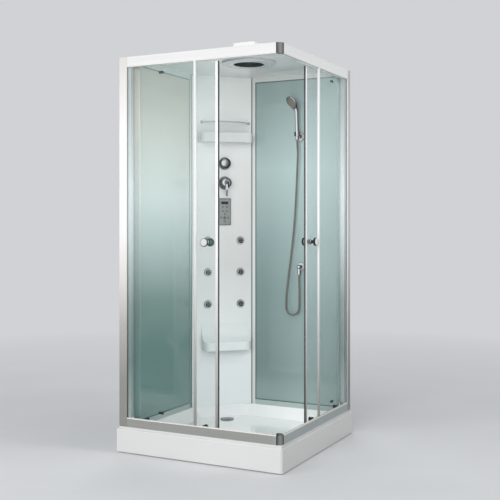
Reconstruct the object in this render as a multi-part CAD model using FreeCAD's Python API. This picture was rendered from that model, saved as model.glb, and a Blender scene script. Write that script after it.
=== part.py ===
import FreeCAD, Part
import math
import os

# A square corner shower cabin with a diagonal massage column, two sliding doors and a low tray.
# +Z is up. The origin is on the floor under the middle of the tray. The left door side faces -Y,
# the right door side faces +X, and the two solid walls stand on the -X and +Y sides.
# Both door sides, and both walls, mirror each other across the vertical plane x = -y.

# Whole cabin
tray_side = 1000.0
tray_height = 130.0
rim_rise = 12.0
rim_inset = 10.0
frame_inset = 10.0
ceiling_height = 2150.0
top_rail_drop = 40.0
top_rail_height = 55.0
bottom_rail_height = 50.0
rail_depth = 45.0
wall_inner = 385.0
column_width = 376.2

# General clearances and cuts
gap = 0.3
running_gap = 2.0
overrun = 5.0
mitre_gap = 0.3
glass_thickness = 6.0

# Tray
skirt_floor_gap = 4.0
tray_skin = 5.0
tray_edge_round = 6.0
rim_round = 3.0
basin_floor = 78.0
basin_wall_margin = 10.0
basin_rail_margin = 15.0
basin_slope = 45.0
basin_column_margin = 12.0
basin_column_slope = 8.0
basin_corner = 60.0
basin_floor_corner = 30.0
drain_x = -177.0
drain_y = 177.0
drain_hole_radius = 27.0

# Drain
trap_radius = 42.0
trap_floor = 6.0
trap_wall = 3.0
trap_flange_radius = 33.0
trap_flange_thickness = 2.0
trap_outlet_radius = 20.0
trap_collar_radius = 24.0
trap_collar_length = 9.0
trap_outlet_bore = 17.0
trap_outlet_length = 60.0
trap_outlet_height = 31.0
cover_radius = 40.0
cover_thickness = 3.0
cover_dome = 3.0
cover_leg_radius = 4.0
cover_leg_length = 12.0
cover_leg_ring = 18.0
cover_leg_count = 3

# Support frame and feet
tube = 25.0
tube_wall = 2.0
support_centre = 460.0
foot_radius = 24.0
foot_thickness = 12.0
foot_rod_radius = 6.0
foot_nut_radius = 10.0
foot_nut_thickness = 8.0

# Posts
post_width = 50.0
post_wall = 3.0
profile_wall = 2.0
adjuster_width = 17.0
adjuster_overlap = 28.0

# Rails
rail_wall = 3.0
groove_slack = 0.5
groove_wall = 2.0
track_thickness = 3.0
inner_lip_height = 16.0
cap_radius = 30.0
cap_plug_radius = 16.0
cap_plug_rise = 4.0

# Fixed panes
fixed_setback = 116.0
edge_profile_width = 14.0
edge_profile_depth = 12.0
fixed_glass_seat = 3.0
stop_rise = 94.0
stop_drop = 83.0
stop_length = 30.0
stop_height = 14.0
stop_round = 4.0
stop_plate = 3.0
stop_button_radius = 5.5
stop_button_offset = 8.0
stop_button_length = 7.0

# Doors
door_plane_inset = 35.0
door_width = 481.0
door_post_gap = 69.0
door_glass_rise = 21.0
door_glass_drop = 2.0
door_profile_width = 15.0
door_profile_depth = 12.0
door_profile_end_gap = 5.0
door_seal_width = 5.0
door_seal_depth = 8.0
wheel_radius = 13.0
wheel_width = 8.0
wheel_groove_depth = 3.0
wheel_groove_width = 4.0
wheel_bore = 3.3
wheel_side_gap = 2.5
wheel_from_trailing = 40.0
wheel_from_leading = 76.0
wheel_rise_low = 41.0
wheel_rise_high = 20.0
axle_radius = 3.0
axle_head_radius = 5.0
axle_head_thickness = 2.0
axle_end_play = 0.5
carrier_radius = 13.0
carrier_thickness = 6.0
carrier_hole_radius = 6.0
knob_from_leading = 66.0
knob_height = 1155.0
knob_radius = 22.5
knob_head = 16.0
knob_neck_radius = 9.0
knob_base_radius = 15.0
knob_base = 5.0
knob_reach = 40.0
knob_round = 3.0
knob_spindle_radius = 5.0

# Walls
wall_member = 28.0
wall_depth = 38.0
wall_glass_thickness = 5.0
wall_glass_recess = 1.5
wall_groove = 8.0
wall_glass_slack = 0.3

# Column
column_skin = 4.0
column_flange = 50.0
corner_post = 25.0
corner_bar_height = 30.0
corner_bar_thickness = 15.0
flare_start = 640.0
flare_lip = 2.0
flare_out_share = 0.3
flare_up_share = 0.36
ledge_top = 536.0
ledge_bottom = 485.0
ledge_reach = 80.0
ledge_width = 302.0
ledge_shift = 20.0
ledge_corner = 45.0
ledge_lip_back = 12.0

# Upper shelf and guard rail
shelf_width = 320.0
shelf_reach = 105.0
shelf_rise = 125.0
shelf_height = 56.0
shelf_skin = 4.0
shelf_corner = 25.0
guard_rise = 68.0
guard_offset = 20.0
guard_width = 300.0
guard_reach = 75.0
guard_radius = 4.0
guard_seat = 12.0
guard_flange_radius = 10.0
guard_flange_thickness = 4.0

# Diverter and mixer
fitting_shift = 15.0
shelf_shift = 6.0
diverter_rise = 119.0
diverter_radius = 38.0
diverter_plate = 6.0
plate_round = 2.5
diverter_stem_radius = 12.0
diverter_stem = 12.0
diverter_knob_radius = 31.0
diverter_knob_neck = 20.0
diverter_knob_length = 34.0
diverter_knob_waist = 10.0
mixer_drop = 649.0
mixer_radius = 40.0
mixer_plate = 8.0
mixer_sleeve_radius = 26.0
mixer_sleeve = 26.0
mixer_cap_radius = 30.0
mixer_cap_length = 30.0
mixer_cap_round = 12.0
lever_width = 15.0
lever_thickness = 8.0
lever_length = 80.0
lever_slot_side_gap = 0.6
lever_pin_radius = 3.0
lever_pin_drop = 4.0
valve_radius = 24.0
valve_depth = 60.0

# Control panel
panel_drop = 94.0
panel_height = 164.0
panel_width = 80.0
panel_rise = 7.0
panel_frame = 5.0
panel_recess = 1.5
overlay_rise = 1.0
display_width = 43.0
display_height = 15.0
display_drop = 28.0
key_radius = 6.0
key_rise = 0.8
key_drop_high = 53.0
key_drop_low = 79.0
key_column = 13.0
cluster_drop = 119.0
cluster_ring = 22.0
cluster_key_count = 4

# Jets
jet_column = 104.0
jet_height_low = 760.0
jet_rise_middle = 195.0
jet_rise_high = 193.0
jet_radius = 26.0
jet_plate = 6.0
jet_plate_round = 2.5
jet_mouth_radius = 15.0
jet_ball_radius = 14.0
jet_ball_sink = 2.0
jet_body_radius = 19.0
jet_body_depth = 34.0
jet_nozzle_radius = 6.0
jet_nozzle_reach = 15.5
jet_bore_radius = 2.5
jet_pivot_radius = 2.0
jet_pivot_gap = 0.15

# Supply pipes
pipe_radius = 8.0
manifold_depth = 52.0
manifold_drop = 70.0
inlet_column = 45.0
inlet_low = 320.0
inlet_thread_radius = 10.5
inlet_thread_length = 15.0
inlet_nut_radius = 15.0
inlet_nut_length = 14.0
riser_column = -60.0
roof_pipe_rise = 20.0
outlet_pipe_depth = 50.0

# Roof
roof_skin = 4.0
roof_skirt = 3.0
ring_centre = 120.0
ring_radius = 150.0
ring_thickness = 14.0
ring_hole_radius = 86.0
ring_nozzle_count = 24
ring_nozzle_radius = 2.5
ring_nozzle_rise = 2.0
ring_nozzle_ring = 118.0
duct_radius = 83.0
duct_wall = 3.0
duct_height = 28.0
grille_thickness = 4.0
grille_ring_count = 4
grille_ring_width = 6.0
grille_hub_radius = 18.0
grille_rib_width = 5.0
grille_rib_count = 6
fan_box_side = 130.0
fan_box_height = 72.0
fan_box_wall = 4.0
fan_bore_radius = 58.0
fan_slot_width = 7.0
fan_slot_count = 8
rotor_radius = 54.0
rotor_hub_radius = 21.0
rotor_height = 22.0
rotor_blade_count = 7
rotor_blade_thickness = 2.0
rotor_blade_pitch = 32.0
blade_width_share = 0.9
rotor_low = 30.0
motor_radius = 19.0
motor_height = 14.0
motor_strut = 8.0
motor_shaft_radius = 3.0
rotor_bore_gap = 0.1

# Hand shower, its bracket and its outlet on the right wall
bracket_x = 212.0
bracket_drop = 375.0
bracket_radius = 27.5
bracket_plate = 8.0
bracket_neck_radius = 11.0
clip_centre_y = 334.0
clip_outer_radius = 17.0
clip_ring_height = 26.0
clip_mouth_width = 16.0
clip_pin_radius = 4.0
clip_seat = 2.0
clip_seat_clear = 12.0
bracket_reach = 24.5
knuckle_radius = 9.0
knuckle_half = 9.0
ear_thickness = 4.7
handset_foot_shift = 1.0
handset_foot_drop = 3.0
handset_grip_lean = 3.3
handset_grip_rise = 130.0
handset_head_lean = 17.7
handset_head_reach = 24.0
handset_head_rise = 72.5
handset_foot_radius = 9.0
handset_grip_radius = 10.5
handset_cone = 30.0
handset_neck_depth = 2.0
handset_head_radius = 42.0
handset_head_thickness = 20.0
handset_face_thickness = 8.0
handset_back_radius = 26.0
handset_face_turn = 31.0
handset_face_drop = 33.0
outlet_x = 216.6
outlet_z = 993.0
outlet_plate_radius = 24.0
outlet_plate = 7.0
outlet_body_radius = 11.0
outlet_ball_radius = 13.0
outlet_neck_radius = 8.5
hose_radius = 6.0
nut_radius = 10.0
nut_length = 22.0
hose_arc_share = 0.45

# Hose route, from the nut of the hand shower to the nut of the outlet
hose_points = [
    (213.6, 334.0, 1750.0),
    (214.3, 334.0, 1723.3),
    (217.5, 335.0, 1675.0),
    (213.0, 337.5, 1590.0),
    (205.0, 342.0, 1460.0),
    (195.0, 346.5, 1325.0),
    (182.0, 350.0, 1190.0),
    (165.5, 352.3, 1060.0),
    (148.0, 353.5, 940.0),
    (135.0, 354.0, 845.0),
    (130.5, 354.0, 785.0),
    (131.0, 354.0, 734.0),
    (147.4, 354.0, 711.4),
    (174.0, 354.0, 702.8),
    (200.6, 354.0, 711.4),
    (217.0, 354.0, 734.0),
    (218.9, 354.0, 777.0),
    (219.3, 354.0, 840.0),
    (216.6, 354.0, 903.0),
    (216.6, 354.0, 948.0),
]

# Places that follow from the sizes above
half = tray_side / 2
rim_top = tray_height + rim_rise
outer = half - frame_inset
inner = outer - rail_depth
post_inner = outer - post_width
bottom_rail_top = rim_top + bottom_rail_height
top_rail_bottom = ceiling_height - top_rail_drop
top_rail_top = top_rail_bottom + top_rail_height
fixed_plane = outer - rail_wall - groove_slack - glass_thickness / 2
groove_inner = fixed_plane - glass_thickness / 2 - groove_slack
door_plane = outer - door_plane_inset
wheel_plane = door_plane + glass_thickness / 2 + wheel_side_gap + wheel_width / 2
wheel_root = wheel_radius - wheel_groove_depth
wheel_height_low = rim_top + wheel_rise_low
wheel_height_high = top_rail_bottom + wheel_rise_high
door_glass_low = rim_top + door_glass_rise
door_glass_high = ceiling_height - door_glass_drop
door_trailing = door_post_gap - post_inner
door_leading = door_trailing + door_width
fixed_edge = door_leading - fixed_setback
stop_centre = (fixed_edge - edge_profile_width / 2 - post_inner) / 2
column_edge = wall_inner - column_width / math.sqrt(2)
column_centre = (wall_inner + column_edge) / 2
wall_back = wall_inner + wall_depth
tube_top = basin_floor - tray_skin
tube_bottom = tube_top - tube
mixer_height = ceiling_height - mixer_drop
diverter_height = mixer_height + diverter_rise
shelf_bottom = diverter_height + shelf_rise
guard_height = shelf_bottom + shelf_height + guard_rise
panel_bottom = mixer_height - panel_drop - panel_height
key_row_drops = (key_drop_high, key_drop_low)
jet_height_middle = jet_height_low + jet_rise_middle
jet_height_high = jet_height_middle + jet_rise_high
jet_heights = (jet_height_low, jet_height_middle, jet_height_high)
bracket_z = ceiling_height - bracket_drop
handset_foot_x = bracket_x + handset_foot_shift
handset_foot_z = bracket_z - handset_foot_drop
handset_bend_x = handset_foot_x - handset_grip_lean
handset_bend_z = handset_foot_z + handset_grip_rise
handset_head_x = handset_bend_x - handset_head_lean
handset_head_y = clip_centre_y - handset_head_reach
handset_head_z = handset_bend_z + handset_head_rise

Z_AXIS = FreeCAD.Vector(0, 0, 1)
ORIGIN = FreeCAD.Vector(0, 0, 0)
FULL_TURN = 360
HEX_SIDES = 6


def vec(x, y, z):
    return FreeCAD.Vector(x, y, z)


def block(x0, x1, y0, y1, z0, z1):
    low = vec(min(x0, x1), min(y0, y1), min(z0, z1))
    return Part.makeBox(abs(x1 - x0), abs(y1 - y0), abs(z1 - z0), low)


def rod(radius, start, end):
    way = end - start
    return Part.makeCylinder(radius, way.Length, start, way)


def fuse(shapes):
    joined = shapes[0]
    if len(shapes) > 1:
        joined = shapes[0].multiFuse(shapes[1:])
    return joined.removeSplitter()


def cut(shape, tools):
    for tool in tools:
        shape = shape.cut(tool)
    return shape


def mirrored(shape):
    """The same piece on the other door side or wall."""
    return shape.mirror(ORIGIN, vec(1, 1, 0))


def on_column(shape):
    """Moves a piece drawn in front of the XZ plane onto the face of the diagonal column."""
    placed = shape.copy()
    placed.rotate(ORIGIN, Z_AXIS, FULL_TURN / 8)
    placed.translate(vec(-column_centre, column_centre, 0))
    return placed


def save(name, shapes):
    shape = shapes[0] if len(shapes) == 1 else Part.makeCompound(shapes)
    shape.exportStep("parts/" + name + ".step")


def extrude_plan(points, z0, z1):
    wire = Part.makePolygon([vec(x, y, z0) for x, y in points + points[:1]])
    return Part.Face(wire).extrude(vec(0, 0, z1 - z0))


def extrude_section(points, x0, x1):
    """A bar along X from a section given as (y, z) points."""
    wire = Part.makePolygon([vec(x0, y, z) for y, z in points + points[:1]])
    return Part.Face(wire).extrude(vec(x1 - x0, 0, 0))


def hexagon(radius, x, y, z0, z1):
    turns = [math.radians(FULL_TURN * step / HEX_SIDES) for step in range(HEX_SIDES)]
    return extrude_plan([(x + radius * math.cos(a), y + radius * math.sin(a)) for a in turns], z0, z1)


def revolve_y(profile, x, z):
    """A turned piece about an axis along Y, from (radius, y) points."""
    points = [vec(x + r, y, z) for r, y in profile]
    face = Part.Face(Part.makePolygon(points + points[:1]))
    return face.revolve(vec(x, 0, z), vec(0, 1, 0), FULL_TURN)


def rounded_outline(corners, radius, z):
    """A closed wire with every corner of a convex outline rounded."""
    edges = []
    count = len(corners)
    last = None
    first = None
    for index in range(count):
        before = vec(*corners[index - 1], z)
        here = vec(*corners[index], z)
        after = vec(*corners[(index + 1) % count], z)
        to_before = (before - here).normalize()
        to_after = (after - here).normalize()
        half_angle = to_before.getAngle(to_after) / 2
        back = radius / math.tan(half_angle)
        start = here + to_before * back
        end = here + to_after * back
        centre = here + (to_before + to_after).normalize() * (radius / math.sin(half_angle))
        middle = centre + (here - centre).normalize() * radius
        if last is not None:
            edges.append(Part.LineSegment(last, start).toShape())
        edges.append(Part.Arc(start, middle, end).toShape())
        last = end
        first = first or start
    edges.append(Part.LineSegment(last, first).toShape())
    return Part.Wire(edges)


def basin_corners(slope, column_slope):
    low_x = -wall_inner + basin_wall_margin + slope
    low_y = -inner + basin_rail_margin + slope
    diagonal = 2 * column_centre - (basin_column_margin + column_slope) * math.sqrt(2)
    return [
        (low_x, low_y),
        (-low_y, low_y),
        (-low_y, -low_x),
        (-low_x - diagonal, -low_x),
        (low_x, low_x + diagonal),
    ]


def basin_solid(skin):
    """The basin's hollow, or with a skin its outside."""
    top_corners = basin_corners(-skin, -skin)
    floor_corners = basin_corners(basin_slope - skin, basin_column_slope - skin)
    top = rounded_outline(top_corners, basin_corner, rim_top)
    floor = rounded_outline(floor_corners, basin_floor_corner, basin_floor - skin)
    return Part.makeLoft([top, floor], True, True)


def make_tray():
    skirt = block(-half, half, -half, half, skirt_floor_gap, tray_height)
    top_edges = [e for e in skirt.Edges if e.BoundBox.ZMin > tray_height - gap]
    skirt = skirt.makeFillet(tray_edge_round, top_edges)
    edge = half - rim_inset
    rim = block(-edge, edge, -edge, edge, tray_height - tray_edge_round, rim_top)
    rim_edges = [e for e in rim.Edges if e.BoundBox.ZMin > rim_top - gap]
    rim = rim.makeFillet(rim_round, rim_edges)
    wide = half - tray_skin
    under = block(-wide, wide, -wide, wide, 0, tray_height - tray_edge_round - tray_skin)
    narrow = edge - tray_skin
    under_rim = block(-narrow, narrow, -narrow, narrow, tray_skin, rim_top - tray_skin)
    hollow = fuse([under, under_rim]).cut(basin_solid(tray_skin))
    drain = rod(drain_hole_radius, vec(drain_x, drain_y, 0), vec(drain_x, drain_y, rim_top))
    lip = basin_solid(0)
    save("tray", [cut(fuse([skirt, rim]), [hollow, lip, drain])])


def hollow_tube(x0, x1, y0, y1, z0, z1, along):
    """A square tube, open at both ends along the named axis."""
    outside = block(x0, x1, y0, y1, z0, z1)
    inset = {axis: 0 if axis == along else tube_wall for axis in "xyz"}
    inside = block(
        x0 + inset["x"], x1 - inset["x"], y0 + inset["y"], y1 - inset["y"], z0 + inset["z"], z1 - inset["z"]
    )
    return outside.cut(inside)


def make_support_frame():
    near = support_centre - tube / 2
    far = support_centre + tube / 2
    mid = tube / 2
    upright_top = rim_top - tray_skin
    tubes = []
    for low, high in ((-far, -near), (near, far)):
        tubes.append(hollow_tube(-far, far, low, high, tube_bottom, tube_top, "x"))
        tubes.append(hollow_tube(low, high, -near, near, tube_bottom, tube_top, "y"))
    for low, high in ((-near, -mid), (mid, near)):
        tubes.append(hollow_tube(-mid, mid, low, high, tube_bottom, tube_top, "y"))
    tubes.append(hollow_tube(-near, near, -mid, mid, tube_bottom, tube_top, "x"))
    for x in (-support_centre, support_centre):
        for y in (-support_centre, support_centre):
            tubes.append(hollow_tube(x - mid, x + mid, y - mid, y + mid, tube_top, upright_top, "z"))
    save("support_frame", tubes)


def make_levelling_feet():
    feet = []
    places = [(x, y) for x in (-support_centre, support_centre) for y in (-support_centre, support_centre)]
    for x, y in places + [(0, 0)]:
        pad = rod(foot_radius, vec(x, y, 0), vec(x, y, foot_thickness))
        screw = rod(foot_rod_radius, vec(x, y, foot_thickness), vec(x, y, tube_bottom))
        nut = hexagon(foot_nut_radius, x, y, tube_bottom - foot_nut_thickness, tube_bottom)
        feet.append(fuse([pad, screw, nut]))
    save("levelling_feet", feet)


def make_drain():
    base = vec(drain_x, drain_y, trap_floor)
    top = vec(drain_x, drain_y, tube_top)
    floor_top = vec(drain_x, drain_y, basin_floor)
    flange_top = floor_top + vec(0, 0, trap_flange_thickness)
    neck_radius = drain_hole_radius - gap
    outlet_start = vec(drain_x - trap_radius + trap_wall, drain_y, trap_outlet_height)
    outlet_end = outlet_start - vec(trap_outlet_length, 0, 0)
    collar_end = outlet_start - vec(trap_collar_length, 0, 0)
    outside = fuse([
        rod(trap_radius, base, top),
        rod(neck_radius, top, floor_top),
        rod(trap_flange_radius, floor_top, flange_top),
        rod(trap_collar_radius, vec(drain_x, drain_y, trap_outlet_height), collar_end),
        rod(trap_outlet_radius, outlet_start, outlet_end),
    ])
    lift = vec(0, 0, trap_wall)
    inside = [
        rod(trap_radius - trap_wall, base + lift, top - lift),
        rod(neck_radius - trap_wall, top - lift * 2, flange_top),
        rod(trap_outlet_bore, outlet_start + vec(trap_wall, 0, 0), outlet_end),
    ]
    save("drain_trap", [cut(outside, inside)])

    seat = flange_top + vec(0, 0, gap)
    disc = rod(cover_radius, seat, seat + vec(0, 0, cover_thickness))
    dome_radius = (cover_radius ** 2 + cover_dome ** 2) / (2 * cover_dome)
    dome_centre = seat + vec(0, 0, cover_thickness + cover_dome - dome_radius)
    dome = Part.makeSphere(dome_radius, dome_centre)
    dome = dome.common(rod(cover_radius, seat, seat + vec(0, 0, cover_thickness + cover_dome)))
    pieces = [disc, dome]
    for index in range(cover_leg_count):
        turn = 2 * math.pi * index / cover_leg_count
        place = seat + vec(cover_leg_ring * math.cos(turn), cover_leg_ring * math.sin(turn), 0)
        leg_end = place - vec(0, 0, cover_leg_length)
        pieces.append(rod(cover_leg_radius, leg_end, place + vec(0, 0, cover_thickness)))
    save("drain_cover", [fuse(pieces)])


def glass_slot(x0, x1, z0, z1):
    """The groove that a fixed pane stands in."""
    deep = glass_thickness / 2 + groove_slack
    return block(x0, x1, -fixed_plane - deep, -fixed_plane + deep, z0, z1)


def make_posts():
    outside = block(-outer, -post_inner, -outer, -inner, rim_top, top_rail_top)
    inside = block(-outer + post_wall, -post_inner - post_wall, -outer + post_wall, -inner - post_wall,
                   rim_top, top_rail_top)
    post = cut(outside, [inside, glass_slot(-post_inner - post_wall, -post_inner, rim_top, top_rail_top)])
    adjuster = block(-post_inner, -post_inner + adjuster_width, -groove_inner + running_gap,
                     -inner + adjuster_overlap, bottom_rail_top, top_rail_bottom)
    hollow = block(-post_inner + profile_wall, -post_inner + adjuster_width - profile_wall,
                   -groove_inner + running_gap + profile_wall, -inner + adjuster_overlap - profile_wall,
                   bottom_rail_top, top_rail_bottom)
    adjuster = adjuster.cut(hollow)
    save("corner_posts", [post, adjuster, mirrored(post), mirrored(adjuster)])


def trim_rail(bar, z0, z1):
    """Cuts the mitre and the seat of the corner cap at a rail's front end."""
    mitre = extrude_plan([(-mitre_gap, 0), (half - mitre_gap, -half), (half, -half), (half, 0)], z0, z1)
    edge = outer - cap_radius - gap
    seat = block(edge, half, -half, -edge, z0, z1)
    return cut(bar, [mitre, seat])


def make_rails():
    low = rim_top
    floor = low + rail_wall
    track_in = wheel_plane - track_thickness / 2
    track_out = wheel_plane + track_thickness / 2
    section = [
        (-outer, low), (-inner, low),
        (-inner, floor + inner_lip_height), (-inner - rail_wall, floor + inner_lip_height),
        (-inner - rail_wall, floor), (-track_in, floor),
        (-track_in, wheel_height_low - wheel_root - gap), (-track_out, wheel_height_low - wheel_root - gap),
        (-track_out, floor), (-groove_inner + groove_wall, floor),
        (-groove_inner + groove_wall, bottom_rail_top), (-groove_inner, bottom_rail_top),
        (-groove_inner, floor), (-outer + rail_wall, floor),
        (-outer + rail_wall, bottom_rail_top), (-outer, bottom_rail_top),
    ]
    bottom = trim_rail(extrude_section(section, -post_inner, outer), low, bottom_rail_top)
    save("bottom_rails", [bottom, mirrored(bottom)])

    roof = top_rail_top - rail_wall
    shelf = top_rail_bottom + rail_wall
    track_edge = wheel_plane - wheel_width / 2 + gap
    section = [
        (-outer, top_rail_bottom), (-outer, top_rail_top), (-inner, top_rail_top),
        (-inner, ceiling_height), (-inner - rail_wall, ceiling_height), (-inner - rail_wall, roof),
        (-groove_inner + groove_wall, roof), (-groove_inner + groove_wall, shelf),
        (-track_out, shelf), (-track_out, wheel_height_high - wheel_root - gap),
        (-track_in, wheel_height_high - wheel_root - gap), (-track_in, shelf),
        (-track_edge, shelf), (-track_edge, top_rail_bottom),
        (-groove_inner, top_rail_bottom), (-groove_inner, roof),
        (-outer + rail_wall, roof), (-outer + rail_wall, top_rail_bottom),
    ]
    top = trim_rail(extrude_section(section, -post_inner, outer), top_rail_bottom, top_rail_top)
    save("top_rails", [top, mirrored(top)])


def make_corner_caps():
    centre = outer - cap_radius
    caps = []
    for low, high in ((rim_top, bottom_rail_top), (top_rail_bottom, top_rail_top)):
        full = rod(cap_radius, vec(centre, -centre, low), vec(centre, -centre, high))
        caps.append(full.common(block(centre, outer, -outer, -centre, low, high)))
    middle = centre + cap_plug_rise * 2
    plug_low = vec(middle, -middle, bottom_rail_top)
    plug = rod(cap_plug_radius, plug_low, plug_low + vec(0, 0, cap_plug_rise))
    save("corner_caps", caps + [plug])


def make_fixed_panes():
    thick = glass_thickness / 2
    pane = block(-post_inner - post_wall, fixed_edge - edge_profile_depth / 2, -fixed_plane - thick,
                 -fixed_plane + thick, rim_top + rail_wall, top_rail_top - rail_wall - fixed_glass_seat)
    save("fixed_glass", [pane, mirrored(pane)])

    profile = block(fixed_edge - edge_profile_width, fixed_edge, -outer, -outer + edge_profile_depth,
                    bottom_rail_top, top_rail_bottom)
    long_edges = [e for e in profile.Edges if e.Length > top_rail_bottom - bottom_rail_top - gap]
    profile = profile.makeFillet(rim_round, long_edges).cut(pane)
    save("fixed_glass_profiles", [profile, mirrored(profile)])

    face = -fixed_plane + thick
    seat = face + stop_plate
    stops = []
    for z in (rim_top + stop_rise, ceiling_height - stop_drop):
        plate = block(stop_centre - stop_length / 2, stop_centre + stop_length / 2, face, seat,
                      z - stop_height / 2, z + stop_height / 2)
        corners = [e for e in plate.Edges if e.BoundBox.YLength > stop_plate - gap]
        pieces = [plate.makeFillet(stop_round, corners)]
        for x in (stop_centre - stop_button_offset, stop_centre + stop_button_offset):
            pieces.append(rod(stop_button_radius, vec(x, seat, z), vec(x, seat + stop_button_length, z)))
        stop = fuse(pieces)
        stops += [stop, mirrored(stop)]
    save("pane_stops", stops)


def wheel_places():
    """The (x, z) places of the four wheels of the left door, top ones first."""
    trailing = door_trailing + wheel_from_trailing
    leading = door_leading - wheel_from_leading
    return [(x, z) for z in (wheel_height_high, wheel_height_low) for x in (trailing, leading)]


def make_wheel(x, z):
    near = wheel_plane - wheel_width / 2
    far = wheel_plane + wheel_width / 2
    side = (wheel_width - wheel_groove_width) / 2
    profile = [
        (wheel_bore, -near), (wheel_radius, -near), (wheel_radius, -near - side), (wheel_root, -near - side),
        (wheel_root, -far + side), (wheel_radius, -far + side), (wheel_radius, -far), (wheel_bore, -far),
    ]
    return revolve_y(profile, x, z)


def make_carrier(x, z):
    inside = -door_plane + glass_thickness / 2
    outside = -door_plane - glass_thickness / 2
    shoulder = -wheel_plane + wheel_width / 2 + axle_end_play
    head = -wheel_plane - wheel_width / 2 - axle_end_play
    disc = rod(carrier_radius, vec(x, inside, z), vec(x, inside + carrier_thickness, z))
    disc = disc.makeFillet(axle_head_thickness, [e for e in disc.Edges if e.BoundBox.YMin > inside + gap])
    neck = rod(carrier_hole_radius, vec(x, inside, z), vec(x, shoulder, z))
    axle = rod(axle_radius, vec(x, outside, z), vec(x, head, z))
    end = rod(axle_head_radius, vec(x, head, z), vec(x, head - axle_head_thickness, z))
    return fuse([disc, neck, axle, end])


def knob_half(face, way):
    """One knob, from the glass face outward along Y."""
    head = knob_reach - knob_head
    points = [
        (0, 0), (knob_base_radius, 0), (knob_base_radius, knob_base),
        (knob_neck_radius, knob_base + knob_round),
        (knob_neck_radius, head - knob_round), (knob_radius - knob_round, head),
        (knob_radius, head + knob_round), (knob_radius, knob_reach - knob_round),
        (knob_radius - knob_round, knob_reach), (0, knob_reach),
    ]
    profile = [(r, face + way * y) for r, y in points]
    return revolve_y(profile, door_leading - knob_from_leading, knob_height)


def make_doors():
    thick = glass_thickness / 2
    half_profile = door_profile_depth / 2
    glass_end = door_leading - door_profile_width / 2
    glass = block(door_trailing, glass_end, -door_plane - thick, -door_plane + thick,
                  door_glass_low, door_glass_high)
    holes = [rod(carrier_hole_radius, vec(x, -inner, z), vec(x, -outer, z)) for x, z in wheel_places()]
    knob_x = door_leading - knob_from_leading
    holes.append(rod(knob_spindle_radius, vec(knob_x, -inner, knob_height), vec(knob_x, -outer, knob_height)))
    glass = cut(glass, holes)

    low = wheel_height_low - wheel_root - gap + door_profile_end_gap
    high = top_rail_bottom - door_profile_end_gap
    profile = block(door_leading - door_profile_width, door_leading, -door_plane - half_profile,
                    -door_plane + half_profile, low, high)
    long_edges = [e for e in profile.Edges if e.Length > high - low - gap]
    profile = profile.makeFillet(rim_round, long_edges).cut(glass)
    half_seal = door_seal_depth / 2
    seal = block(door_leading, door_leading + door_seal_width,
                 -door_plane - half_seal, -door_plane + half_seal, low, high)

    spindle = rod(knob_spindle_radius, vec(knob_x, -door_plane - thick, knob_height),
                  vec(knob_x, -door_plane + thick, knob_height))
    knob = fuse([knob_half(-door_plane - thick, -1), spindle, knob_half(-door_plane + thick, 1)])
    carriers = [make_carrier(x, z) for x, z in wheel_places()]

    for side, place in (("left", lambda shape: shape), ("right", mirrored)):
        save(side + "_door_glass", [place(glass)])
        save(side + "_door_profile", [place(profile), place(seal)])
        save(side + "_door_knob", [place(knob)])
        save(side + "_door_carriers", [place(carrier) for carrier in carriers])
        for index, (x, z) in enumerate(wheel_places()):
            save(side + "_door_wheel_" + str(index + 1), [place(make_wheel(x, z))])


def make_walls():
    back = -wall_inner - wall_depth
    start = -inner
    end = column_edge
    members = [
        block(back, -wall_inner, start, start + wall_member, rim_top, ceiling_height),
        block(back, -wall_inner, end - wall_member, end, rim_top, ceiling_height),
    ]
    for low in (rim_top, ceiling_height - wall_member):
        high = low + wall_member
        members.append(block(back, -wall_inner, start + wall_member, end - wall_member, low, high))
    glass_face = -wall_inner - wall_glass_recess
    glass_back = glass_face - wall_glass_thickness
    inset = wall_member - wall_groove
    groove = block(glass_back - wall_glass_slack, glass_face + wall_glass_slack, start, end - inset,
                   rim_top + inset, ceiling_height - inset)
    front_lip = block(glass_face, -wall_inner, start, start + wall_member,
                      rim_top + wall_member, ceiling_height - wall_member)
    tube_front = glass_back - wall_glass_slack - profile_wall
    hollow = [
        block(back + profile_wall, tube_front, start + profile_wall, start + wall_member - profile_wall,
              rim_top, ceiling_height),
        block(back + profile_wall, tube_front, end - wall_member + profile_wall, end - profile_wall,
              rim_top, ceiling_height),
    ]
    for low in (rim_top, ceiling_height - wall_member):
        hollow.append(block(back + profile_wall, tube_front, start + wall_member, end - wall_member,
                            low + profile_wall, low + wall_member - profile_wall))
    members = [cut(member, [groove, front_lip, room]) for member, room in zip(members, hollow)]
    save("wall_frames", members + [mirrored(member) for member in members])

    edge = inset + wall_glass_slack
    glass = block(glass_back, glass_face, start + wall_glass_slack, end - edge,
                  rim_top + edge, ceiling_height - edge)
    hole = rod(outlet_body_radius, vec(outlet_x, wall_inner, outlet_z), vec(outlet_x, half, outlet_z))
    save("wall_glass", [glass, mirrored(glass).cut(hole)])


def column_hole(radius, along, z):
    """A cut through the column's skin at a place on its face."""
    return on_column(rod(radius, vec(along, -overrun, z), vec(along, column_skin + overrun, z)))


def jet_places():
    return [(fitting_shift + side * jet_column, z) for z in jet_heights for side in (-1, 1)]


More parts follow.
